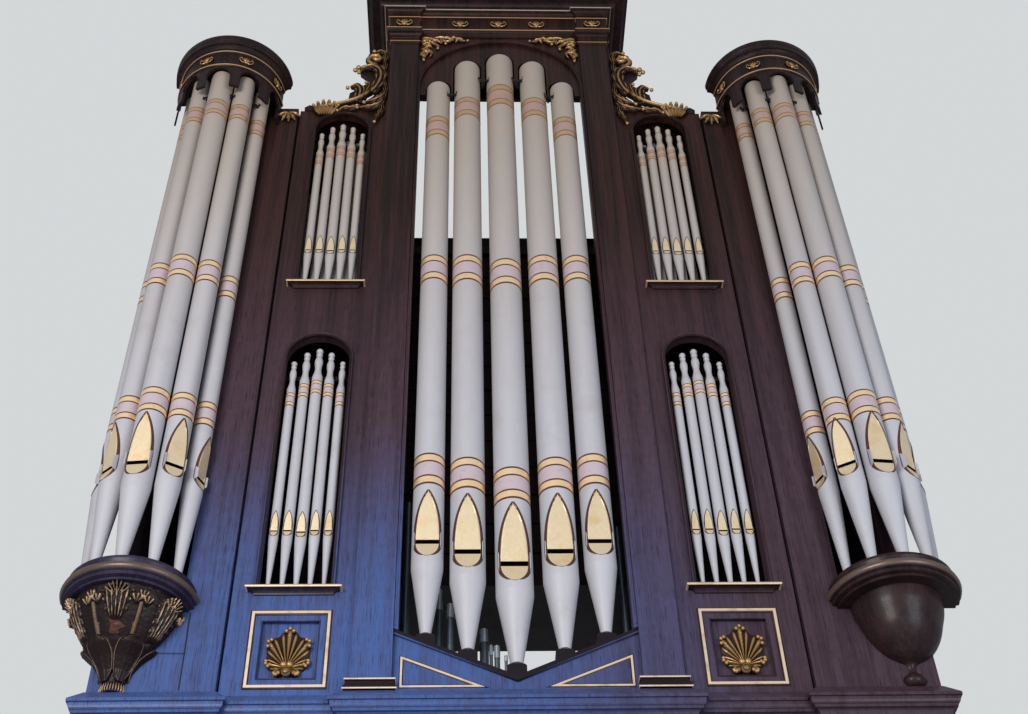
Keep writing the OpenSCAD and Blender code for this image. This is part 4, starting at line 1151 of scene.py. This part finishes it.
# Each leaf of a scroll bracket: spine points (x, z, lift), half width and lobes
scrollLeaves = [
    ([(1.150, 4.150, 0.004), (1.080, 4.172, 0.010), (0.990, 4.200, 0.014), (0.905, 4.240, 0.016),
      (0.840, 4.300, 0.018), (0.800, 4.370, 0.020)], 0.017, 0),
    ([(0.900, 4.225, 0.010), (0.880, 4.290, 0.022), (0.885, 4.350, 0.026), (0.915, 4.385, 0.020),
      (0.945, 4.380, 0.012)], 0.042, 4),
    ([(0.860, 4.265, 0.010), (0.835, 4.330, 0.026), (0.825, 4.385, 0.024), (0.842, 4.420, 0.014)], 0.026, 3),
    ([(0.812, 4.330, 0.010), (0.775, 4.400, 0.020), (0.757, 4.480, 0.026), (0.768, 4.555, 0.028),
      (0.815, 4.600, 0.024), (0.870, 4.590, 0.016), (0.885, 4.556, 0.010)], 0.046, 6),
    ([(0.765, 4.420, 0.006), (0.742, 4.520, 0.016), (0.735, 4.620, 0.020), (0.745, 4.700, 0.022),
      (0.742, 4.760, 0.016)], 0.020, 4),
    ([(0.745, 4.650, 0.014), (0.735, 4.720, 0.022), (0.760, 4.775, 0.018), (0.800, 4.780, 0.010)], 0.024, 3),
    ([(0.725, 4.330, 0.004), (0.745, 4.270, 0.018), (0.790, 4.230, 0.016), (0.840, 4.225, 0.008)], 0.030, 4),
    ([(0.735, 4.250, 0.004), (0.760, 4.190, 0.016), (0.815, 4.160, 0.016), (0.880, 4.165, 0.006)], 0.030, 4),
    ([(0.880, 4.180, 0.004), (0.925, 4.150, 0.014), (0.975, 4.150, 0.010), (1.005, 4.130, 0.004)], 0.024, 3),
    ([(0.745, 4.200, 0.004), (0.740, 4.130, 0.014), (0.762, 4.070, 0.012), (0.775, 4.020, 0.004)], 0.022, 4),
    ([(0.730, 4.300, 0.004), (0.724, 4.370, 0.014), (0.738, 4.430, 0.010), (0.750, 4.460, 0.004)], 0.020, 3),
]
scrollBerries = ((0.905, 4.600, 0.016), (0.925, 4.570, 0.015), (0.900, 4.545, 0.014), (0.962, 4.372, 0.013),
                 (0.848, 4.432, 0.012), (0.812, 4.788, 0.013), (1.030, 4.175, 0.012), (1.012, 4.126, 0.011),
                 (0.850, 4.215, 0.012), (0.892, 4.160, 0.012), (0.778, 4.010, 0.011), (0.786, 4.745, 0.012))
# how a bracket is carved: its leaves without and with lobes, and what stands in front of them
bracket = {"y": -0.004, "fewest": 20, "perPoint": 8, "berryOut": 0.016, "tipOut": 0.006, "scrollHigh": 0.020,
           "plain": dict(height=0.020, thick=0.016, across=12, flutes=0.0, taper=0.5),
           "lobed": dict(height=0.020, thick=0.016, across=18, flutes=0.6, taper=0.5, ribs=1.5)}
# the small leaves that spread from its foot
clump = {"x": 1.090, "z": 4.088, "count": 6, "reach": 0.125, "first": 132, "step": 17, "apart": 0.013,
         "shares": (0, 0.35, 0.7, 0.95, 1.0), "wide": 0.020, "berry": 0.010,
         "outer": 0.85, "narrow": 0.62, "lift": (0.008, 0.014),
         "leaf": dict(lobes=2, height=0.016, thick=0.014, along=16, across=8, flutes=0.4)}
# the volute at the head of a bracket: centre, radius, turns and half width
volute = {"centre": (0.800, impost + 4.690), "form": (0.052, 1.4, 0.016), "start": -1.2, "over": 0.010}


def addBracket(bm):
    y = bracket["y"]
    for spine, width, lobes in scrollLeaves:
        along = max(bracket["fewest"], bracket["perPoint"] * len(spine))
        addLeaf(bm, onWall(spine, y), width, **dict(bracket["lobed" if lobes else "plain"], lobes=lobes, along=along))
    for k in range(clump["count"]):
        a = math.radians(clump["first"] - clump["step"] * k)
        reach = clump["outer"] + (1 - clump["outer"]) * math.sin(math.pi * k / (clump["count"] - 1))
        reach *= clump["reach"]
        x0 = clump["x"] - clump["apart"] * (clump["count"] / 2 - k)
        base, rise = clump["lift"]
        pts = [(x0 + reach * t * math.cos(a) * clump["narrow"], clump["z"] + reach * t * math.sin(a), base + rise * t)
               for t in clump["shares"]]
        addLeaf(bm, onWall(pts, y), clump["wide"], **clump["leaf"])
        addBall(bm, onWall([pts[-1]], y - bracket["tipOut"])[0], clump["berry"])
    addScroll(bm, volute["centre"], *volute["form"], start=volute["start"], y=y - volute["over"],
              height=bracket["scrollHigh"])
    addBerries(bm, y - bracket["berryOut"], scrollBerries)


def makeBrackets():
    bm = newRelief()
    addBracket(bm)
    addMirror(bm)
    pieceFromBmesh("scroll_carvings", bm, "antiqueGilt")


makeBrackets()


# Leaves in the spandrels over the arch, and the tuft beside each crown
spandrelLeaves = [
    ([(0.500, 4.965, 0.002), (0.455, 4.950, 0.012), (0.420, 4.925, 0.014), (0.395, 4.930, 0.006)], 0.026, 4),
    ([(0.500, 4.955, 0.002), (0.490, 4.895, 0.012), (0.470, 4.850, 0.014), (0.480, 4.815, 0.006)], 0.026, 4),
    ([(0.440, 4.955, 0.004), (0.390, 4.965, 0.012), (0.340, 4.955, 0.014), (0.300, 4.970, 0.006)], 0.020, 4),
    ([(0.380, 4.940, 0.004), (0.340, 4.915, 0.012), (0.315, 4.925, 0.014), (0.290, 4.945, 0.006)], 0.018, 3),
    ([(0.310, 4.960, 0.004), (0.270, 4.955, 0.012), (0.245, 4.935, 0.010), (0.215, 4.940, 0.004)], 0.016, 3),
    ([(0.475, 4.860, 0.004), (0.485, 4.800, 0.012), (0.500, 4.765, 0.012), (0.490, 4.715, 0.004)], 0.020, 4),
    ([(0.470, 4.830, 0.004), (0.445, 4.800, 0.012), (0.440, 4.770, 0.012), (0.455, 4.745, 0.004)], 0.014, 3),
    ([(0.440, 4.900, 0.004), (0.410, 4.880, 0.012), (0.400, 4.855, 0.010), (0.415, 4.840, 0.004)], 0.016, 3),
]
spandrelBerries = ((0.470, 4.790, 0.010), (0.505, 4.775, 0.010), (0.490, 4.705, 0.010), (0.400, 4.842, 0.009),
                   (0.205, 4.938, 0.009), (0.286, 4.952, 0.009), (0.296, 4.978, 0.009), (0.438, 4.912, 0.012),
                   (0.350, 4.900, 0.010))
spandrel = {"berryOut": 0.014, "leaf": dict(height=0.014, thick=0.003, along=20, across=10, flutes=0.55, taper=0.55)}
sprigs = {"count": 34, "path": ((0.255, 4.948), (0.330, 4.945), (0.470, 4.925), (0.478, 4.860), (0.482, 4.740)),
          "spread": 0.160, "long": 0.040, "wide": 0.0105, "far": 0.498, "top": 4.962, "turn": 2.4, "sway": 5.1,
          "lift": (0.006, 0.012), "shares": (0, 0.35, 0.7, 1),
          "leaf": dict(lobes=2, height=0.010, thick=0.003, along=12, across=6, flutes=0.4, taper=0.5)}
tuft = {"x": 1.305, "y": -0.022, "z": 4.080, "count": 5, "first": 200, "step": 33, "wide": 0.075, "tall": 0.085,
        "bulge": 0.016, "shares": (0, 0.3, 0.6, 0.85, 1),
        "half": 0.017, "leaf": dict(lobes=3, height=0.012, thick=0.003, along=16, across=8, flutes=0.5)}


def addSprigs(bm):
    # small leaves that lie this way and that along a path
    path = sprigs["path"]
    for k in range(sprigs["count"]):
        t = (len(path) - 1) * (k + 0.5) / sprigs["count"]
        (x0, z0), (x1, z1) = path[int(t)], path[int(t) + 1]
        a, off = sprigs["turn"] * k, sprigs["spread"] * math.sin(sprigs["sway"] * k)
        x = min(x0 + (x1 - x0) * (t % 1) + off * (z1 - z0), sprigs["far"])
        z = min(z0 + (z1 - z0) * (t % 1) + off * (x1 - x0), sprigs["top"])
        base, rise = sprigs["lift"]
        spine = [(x + sprigs["long"] * (u - 0.5) * math.cos(a), z + sprigs["long"] * (u - 0.5) * math.sin(a),
                  base + rise * math.sin(math.pi * u)) for u in sprigs["shares"]]
        addLeaf(bm, onWall(spine, 0.0), sprigs["wide"], **sprigs["leaf"])


def makeSpandrels():
    bm = newRelief()
    for spine, width, lobes in spandrelLeaves:
        addLeaf(bm, onWall(spine, 0.0), width, lobes=lobes, **spandrel["leaf"])
    addBerries(bm, -spandrel["berryOut"], spandrelBerries)
    addSprigs(bm)
    for k in range(tuft["count"]):
        a = math.radians(tuft["first"] + tuft["step"] * k)
        pts = [up(tuft["x"] + tuft["wide"] * t * math.cos(a), tuft["y"] - tuft["bulge"] * math.sin(math.pi * t),
                  tuft["z"] + tuft["tall"] * t * math.sin(a)) for t in tuft["shares"]]
        addLeaf(bm, pts, tuft["half"], **tuft["leaf"])
    addMirror(bm)
    pieceFromBmesh("spandrel_carvings", bm, "antiqueGilt", ["gilt_leaves"])


makeSpandrels()


# A flower between two small scrolls, repeated on the frieze and round the crowns
flowers = {
    "scroll": ((0.012, -0.024), (0.028, -0.028), (0.044, -0.014), (0.046, 0.008), (0.036, 0.018),
               (0.029, 0.006), (0.036, -0.002)),
    "places": ((-0.255, -0.010, 5.138), (0.0, -0.010, 5.138), (0.255, -0.010, 5.138),
               (-0.626, -0.036, 5.112), (0.626, -0.036, 5.112)),
    # petals: angles, half width, reach across and up, foot, lift and shares; the eye; how the scrolls lie
    "petals": (30, 60, 90, 120, 150), "petalHalf": 0.0100, "reach": (0.036, 0.054), "low": -0.018,
    "lift": 0.003, "bulge": 0.005, "shares": (0.1, 0.4, 0.7, 1), "eye": ((0, -0.006, -0.020), 0.012),
    "curlHalf": 0.006, "curlBulge": 0.004, "petal": dict(plainStrip, height=0.007, along=8, thick=0.002),
    "curl": dict(plainStrip, height=0.006, along=18, thick=0.002, taper=0.3, tail=0.6),
    "size": 1.1, "ringSize": 0.9, "ringR": 0.315, "ringZ": 4.240, "ring": (-66, -22, 22, 66),
}


def addMotif(bm):
    # drawn flat in X and Z about the origin, out along -Y; 0.1 wide
    (across, tall), low, lift = flowers["reach"], flowers["low"], flowers["lift"]
    for a in (math.radians(degrees) for degrees in flowers["petals"]):
        pts = [(across * t * math.cos(a), -lift - flowers["bulge"] * math.sin(math.pi * t),
                low + tall * t * math.sin(a)) for t in flowers["shares"]]
        addLeaf(bm, pts, flowers["petalHalf"], **flowers["petal"])
    addBall(bm, *flowers["eye"])
    last = len(flowers["scroll"]) - 1
    for s in (-1, 1):
        pts = [(s * x, -lift - flowers["curlBulge"] * math.sin(math.pi * i / last), z)
               for i, (x, z) in enumerate(flowers["scroll"])]
        addLeaf(bm, pts, flowers["curlHalf"], **flowers["curl"])


def motifTree(flower):
    # a copy of the flower on every point, turned and scaled by the point's attributes
    tree, given, ids = newNodeTree("friezeFlowers", {"Size": 1.0})
    info = node(tree, "GeometryNodeObjectInfo", {"Object": flower})
    scaled = node(tree, "ShaderNodeVectorMath", {0: namedVector(tree, "size"), "Scale": given["Size"]},
                  operation="SCALE")
    put = node(tree, "GeometryNodeInstanceOnPoints", {
        "Points": given["Geometry"], "Instance": info.outputs["Geometry"], "Rotation": namedVector(tree, "turn"),
        "Scale": scaled.outputs[0]})
    putOut(tree, put.outputs["Instances"], "antiqueGilt")
    return tree, ids


def makeFlowers():
    bm = newRelief()
    addMotif(bm)
    fixNormals(bm)
    mesh = bpy.data.meshes.new("flower")
    bm.to_mesh(mesh)
    bm.free()
    mesh.shade_smooth()
    flower = addObject("flower", mesh)
    spots = [(up(*place), (0, 0, 0), flowers["size"]) for place in flowers["places"]]
    for s in (-1, 1):
        for a in (math.radians(degrees) for degrees in flowers["ring"]):
            x, y, z = ringPoint(towerX, flowers["ringR"], a, flowers["ringZ"])
            spots.append(((s * x, y, z), (0, 0, s * a), flowers["ringSize"]))
    points, turns, sizes = zip(*spots)
    obj = pointsObject("frieze_flowers", points, {"turn": turns, "size": [(size,) * 3 for size in sizes]})
    bake(obj, motifTree(flower), {"Size": 1.0}, "antiqueGilt")
    bpy.data.objects.remove(flower)


makeFlowers()
print("shells, scrolls, spandrels and flowers")


# Left corbel: one carved skin over the bowl and the calyx; one leaf's lower half is broken away

corbel = {
    "columns": 180, "rows": 190, "low": 0.044, "high": 0.405, "lip": 0.196, "lipHigh": 0.014, "half": 86,
    "over": 0.0016, "back": 0.003, "rough": 0.0012, "roughGrain": (0.25, 90, 1.0),
    "profile": ((0.050, 0.044), (0.062, 0.090), (0.092, 0.140), (0.128, 0.180), (0.132, 0.194), (0.158, 0.230),
                (0.190, 0.280), (0.216, 0.330), (0.232, 0.375), (0.238, 0.406)),
    "leaves": (-62, 0, 62), "broken": 0, "ribs": (-90, -27, 27, 88), "petals": 6,
    # three buds at the head of each rib: shift, base, reach, spread and ribs
    "buds": ((-0.022, 0.318, 0.044, 0.8, 3), (0.022, 0.318, 0.044, 0.8, 3), (0.0, 0.326, 0.056, 0.50, 3)),
    "ribHalf": 0.0095, "ribZ": (0.206, 0.330), "ribHigh": 0.013, "budHigh": 0.022,
    "drop": ((0.050, 0.004), (0.054, 0.012), (0.049, 0.028), (0.053, 0.038)), "dropLeaves": 14, "dropHalf": 84,
    "dropWide": 0.0050, "dropTilt": 0.1,
    "dropLeaf": dict(plainStrip, height=0.005, along=8, thick=0.003),
}
# a petal of the calyx: where the back ones begin, how it widens, its rounded end, its borders, midrib and lip
petal = {"backFrom": 0.45, "wide": (0.012, 0.056, 0.8), "end": 7, "border": (0.90, 0.07), "midrib": (0.7, 0.08),
         "base": 0.005, "curl": 0.025, "high": 0.006, "tone": (0.04, 0.66), "frontOver": 0.004,
         "tops": (0.002, 0.006)}
# a leaf of the corbel, whole and broken: where it starts and its lobes
acanthus = {
    "low": {False: 0.214, True: 0.256}, "lobes": {False: 5, True: 3}, "top": 0.372, "flutes": 3.5,
    "narrow": 0.022, "widen": 0.054, "swell": 0.6, "notch": 0.30, "base": 0.004, "high": 0.013, "begin": 9,
    "bareZ": (0.186, 0.238), "ragged": (0.030, 0.022), "curl": 0.336, "curlForm": (0.066, 1.05, 7),
    "curlFrom": 0.342, "curlHigh": 0.014, "curlOut": 0.50, "curlRise": 0.345, "curlTone": 0.15,
    "fluteLeast": 0.3, "leastTone": 0.14, "worn": (0.75, 0.35), "wornGrain": (90, 50, 4),
    # the broken edge and the bare wood under it
    "raggedGrain": (40, 30, 7), "raggedMean": 0.3,
    "bareUnder": 0.006, "bare": (0.003, 0.003), "bareGrain": (60, 60, 2),
}


def bowlRadius(z):
    pts = corbel["profile"]
    for (r0, z0), (r1, z1) in zip(pts, pts[1:]):
        if z <= z1:
            return r0 + (r1 - r0) * max(0, z - z0) / (z1 - z0)
    return pts[-1][0]


fanForm = {"scallop": 0.10, "least": 0.25, "start": 0.3, "finish": 0.12}


def fan(s, h, reach, fanHalf, count):
    # ribs that spread from a point: 1 on a rib, 0 between ribs and outside the fan
    rho, phi = math.hypot(s, h), math.atan2(s, h)
    edge = reach * (1 - fanForm["scallop"] * abs(math.sin(count * phi / fanHalf * math.pi / 2)))
    if abs(phi) > fanHalf or rho > edge or rho < 1e-6:
        return 0.0
    rib = 0.5 + 0.5 * math.cos(math.pi * count * phi / fanHalf)
    soft = min(1, rho / (fanForm["start"] * reach)) * min(1, (edge - rho) / (fanForm["finish"] * reach))
    return (fanForm["least"] + (1 - fanForm["least"]) * rib) * soft


def noiseAt(a, b, grain):
    return noise(Vector((a * grain[0], b * grain[1], grain[2])))


def carvedLeaf(s, z, broken):
    # an acanthus leaf with a curled head: height and gilding at arc length s and height z
    form, low = acanthus, acanthus["low"][broken]
    v = (z - low) / (form["top"] - low)
    h, tone = 0.0, 0.0
    if 0 < v < 1:
        full = form["narrow"] + form["widen"] * v ** form["swell"]
        u = s / (full * (1 - form["notch"] * abs(math.sin(form["lobes"][broken] * math.pi * v))))
        if abs(u) < 1:
            flute = 0.5 + 0.5 * math.cos(2 * math.pi * form["flutes"] * s / full)
            start = min(1, v * form["begin"])
            fluted = form["fluteLeast"] + (1 - form["fluteLeast"]) * flute
            level, swing = form["worn"]
            h = (form["base"] + form["high"] * math.sqrt(1 - u * u) * fluted) * start
            worn = level + swing * noiseAt(s, z, form["wornGrain"])
            tone = (form["leastTone"] + flute ** 2) * start * worn
    middle, spreads = form["ragged"]
    ragged = middle + spreads * (noiseAt(z, s, form["raggedGrain"]) - form["raggedMean"])
    (bareLow, bareHigh), (bareBase, bareRough) = form["bareZ"], form["bare"]
    if broken and bareLow < z <= bareHigh + ragged and abs(s) < ragged and h < form["bareUnder"]:
        return bareBase + bareRough * noiseAt(s, z, form["bareGrain"]), -1.0      # bare wood: the leaf broke off
    head = fan(s, z - form["curl"], *form["curlForm"])
    if head > 0 and z > form["curlFrom"]:
        over = head * (form["curlHigh"] + form["curlOut"] * max(0, z - form["curlRise"]))
        if over > h:
            return over, form["curlTone"] + (1 - form["curlTone"]) * head ** 3
    return h, tone


def carvedRib(s, z):
    h, tone = 0.0, 0.0
    low, high = corbel["ribZ"]
    if low < z < high and abs(s) < corbel["ribHalf"]:
        h, tone = corbel["ribHigh"] * math.sqrt(1 - (s / corbel["ribHalf"]) ** 2), 0.62
    for shift, base, *form in corbel["buds"]:
        bud = fan(s - shift, z - base, *form)
        if corbel["budHigh"] * bud > h:
            h, tone = corbel["budHigh"] * bud, bud
    return h, tone


def carvedPetal(angle, z, shift, top):
    # a petal of the calyx with raised borders and midrib, its lip curling outwards
    step = 360 / corbel["petals"]
    k = round(angle / step - shift) + shift
    s = math.radians(angle - k * step) * bowlRadius(z)
    v = (z - corbel["low"]) / (top - corbel["low"])
    if not (0.0 if shift else petal["backFrom"]) <= v < 1:
        return 0.0, 0.0
    (narrow, widen, power), (edge, edgeWide), (rib, ribWide) = (petal[k] for k in ("wide", "border", "midrib"))
    w = (narrow + widen * v ** power) * math.sqrt(max(0, 1 - v ** petal["end"]))
    u = abs(s) / max(w, 1e-6)
    if u >= 1:
        return 0.0, 0.0
    line = max(math.exp(-((u - edge) / edgeWide) ** 2), rib * math.exp(-(u / ribWide) ** 2) * (1 - v))
    tone, lineTone = petal["tone"]
    return petal["base"] + petal["curl"] * v ** 3 * (1 - 0.5 * u) + petal["high"] * line, tone + lineTone * line


def carvedBowl(angle, z):
    if z < corbel["lip"] + corbel["lipHigh"]:
        backTop, frontTop = petal["tops"]
        h, tone = carvedPetal(angle, z, 0.5, corbel["lip"] + frontTop)
        return max(carvedPetal(angle, z, 0.0, corbel["lip"] + backTop), (h + petal["frontOver"] * (h > 0), tone))
    r = bowlRadius(z)
    found = [carvedLeaf(math.radians(angle - a) * r, z, a == corbel["broken"]) for a in corbel["leaves"]]
    found += [carvedRib(math.radians(angle - a) * r, z) for a in corbel["ribs"]]
    return max(found)


def makeCorbelCarving():
    bm = newRelief()
    layer = bm.verts.layers.float["relief"]
    rows = []
    for z in spread(corbel["low"], corbel["high"], corbel["rows"]):
        front, back = [], []
        for angle in spread(-corbel["half"], corbel["half"], corbel["columns"]):
            h, level = carvedBowl(angle, z)
            h += corbel["rough"] * noiseAt(angle, z, corbel["roughGrain"])
            for keep, over, tone in ((front, corbel["over"] + h, level), (back, -corbel["back"], 0)):
                vert = bm.verts.new(ringPoint(-towerX, bowlRadius(z) + over, math.radians(angle), z))
                vert[layer] = tone
                keep.append(vert)
        rows.append((front, back))
    closeSkin(bm, rows)
    for a in (math.radians(angle) for angle in spread(-corbel["dropHalf"], corbel["dropHalf"], corbel["dropLeaves"])):
        spine = [ringPoint(-towerX, r, a, z) for r, z in corbel["drop"]]
        addLeaf(bm, spine, corbel["dropWide"], (math.sin(a), -math.cos(a), corbel["dropTilt"]), **corbel["dropLeaf"])
    fixNormals(bm)
    pieceFromBmesh("left_corbel_carving", bm, "bronzedWood")


makeCorbelCarving()


# The right corbel's turned bowl, whose carving is gone
bowl = {
    "over": 0.0016, "back": 0.0025, "steps": 6, "columns": 120, "half": 88,
    "profile": ((0.004, 0.000), (0.020, 0.002), (0.042, 0.014), (0.052, 0.036), (0.042, 0.058), (0.026, 0.072),
                (0.024, 0.096), (0.034, 0.116), (0.060, 0.130), (0.092, 0.152), (0.130, 0.195), (0.160, 0.245),
                (0.180, 0.300), (0.197, 0.350), (0.206, 0.403)),
}


def makeBowlSkin():
    bm = newRelief()
    turns = [math.radians(angle) for angle in spread(-bowl["half"], bowl["half"], bowl["columns"])]
    count = (len(bowl["profile"]) - 1) * bowl["steps"] + 1
    closeSkin(bm, [tuple([bm.verts.new(ringPoint(towerX, r + over, a, z)) for a in turns]
                         for over in (bowl["over"], -bowl["back"]))
                   for r, z in smoothCurve(bowl["profile"], count, held=True)])
    fixNormals(bm)
    pieceFromBmesh("right_corbel_bowl", bm, "darkMahogany")


makeBowlSkin()
# the rounded edge of each corbel's rim in bronze colour, partly its own bronzing and partly a painted highlight
rims = both(halfRing(towerX, lines["rimR"], lines["rimZ"], 48))
makeBeads("corbel_rims", rims, lines["rimRound"], "bronze")
print("corbels carved")


# Ironwork: double hooks that hold neighbouring pipes together
hooks = {
    "centre": ((-0.306, -0.030, 4.286), (-0.100, -0.030, 4.446), (0.112, -0.030, 4.448), (0.306, -0.030, 4.275)),
    "towerZ": (3.990, 3.965, 3.965, 3.950), "ringR": 0.240, "reach": 0.030, "round": 0.0050,
    # the upper and the lower curl and the stalk: share of the reach to one side, distance in front, height
    "upper": ((0, 0, 0), (0.55, 0.002, 0.002), (1, 0.004, 0.010), (1.25, 0.004, 0.024), (0.95, 0.003, 0.032)),
    "lower": ((0.5, 0.002, -0.016), (0.95, 0.004, -0.010), (0.55, 0.002, 0.0)),
    "stalk": ((0, 0, -0.030), (0, 0, 0.0), (0, -0.02, 0.040), (0, -0.06, 0.070), (0, -0.10, 0.075)),
}


def hookPaths(x, y, z, turn=0.0):
    c, s = math.cos(turn), math.sin(turn)

    def placed(form, side):
        return [up(x + side * hooks["reach"] * u * c + v * s, y + side * hooks["reach"] * u * s - v * c, z + w)
                for u, v, w in form]
    curls = [placed(hooks[name], side) for side in (-1, 1) for name in ("upper", "lower")]
    return curls + [placed(hooks["stalk"], 1)]


def makeHooks():
    paths = [path for place in hooks["centre"] for path in hookPaths(*place)]
    for i, z in enumerate(hooks["towerZ"]):
        a, r = ringAngle(i + 0.5), hooks["ringR"]
        for path in hookPaths(towerX + r * math.sin(a), -r * math.cos(a), z, a):
            paths += both(path)
    makeBeads("pipe_hooks", paths, hooks["round"], "iron")


makeHooks()


# Bright tuning slides on the metal pipes behind the V sill: x, width, top and height of each
slides = {"y": 0.170, "over": 0.0012, "rise": 0.001, "sides": 32,
          "of": ((-0.335, 0.030, 0.645, 0.110), (-0.285, 0.034, 0.565, 0.073), (-0.135, 0.040, 0.427, 0.068),
                 (-0.105, 0.016, 0.348, 0.050), (-0.079, 0.025, 0.343, 0.062), (-0.040, 0.014, 0.296, 0.030))}


def makeSlides():
    bm = bmesh.new()
    for x, wide, top, tall in slides["of"]:
        r = wide / 2 + slides["over"]
        made = bmesh.ops.create_cone(bm, cap_ends=True, segments=slides["sides"], radius1=r, radius2=r, depth=tall)
        bmesh.ops.translate(bm, verts=made["verts"], vec=up(x, slides["y"], top - tall / 2 + slides["rise"]))
    pieceFromBmesh("tuning_slides", bm, "brightMetal", smooth=False)


makeSlides()
print("hooks and slides")
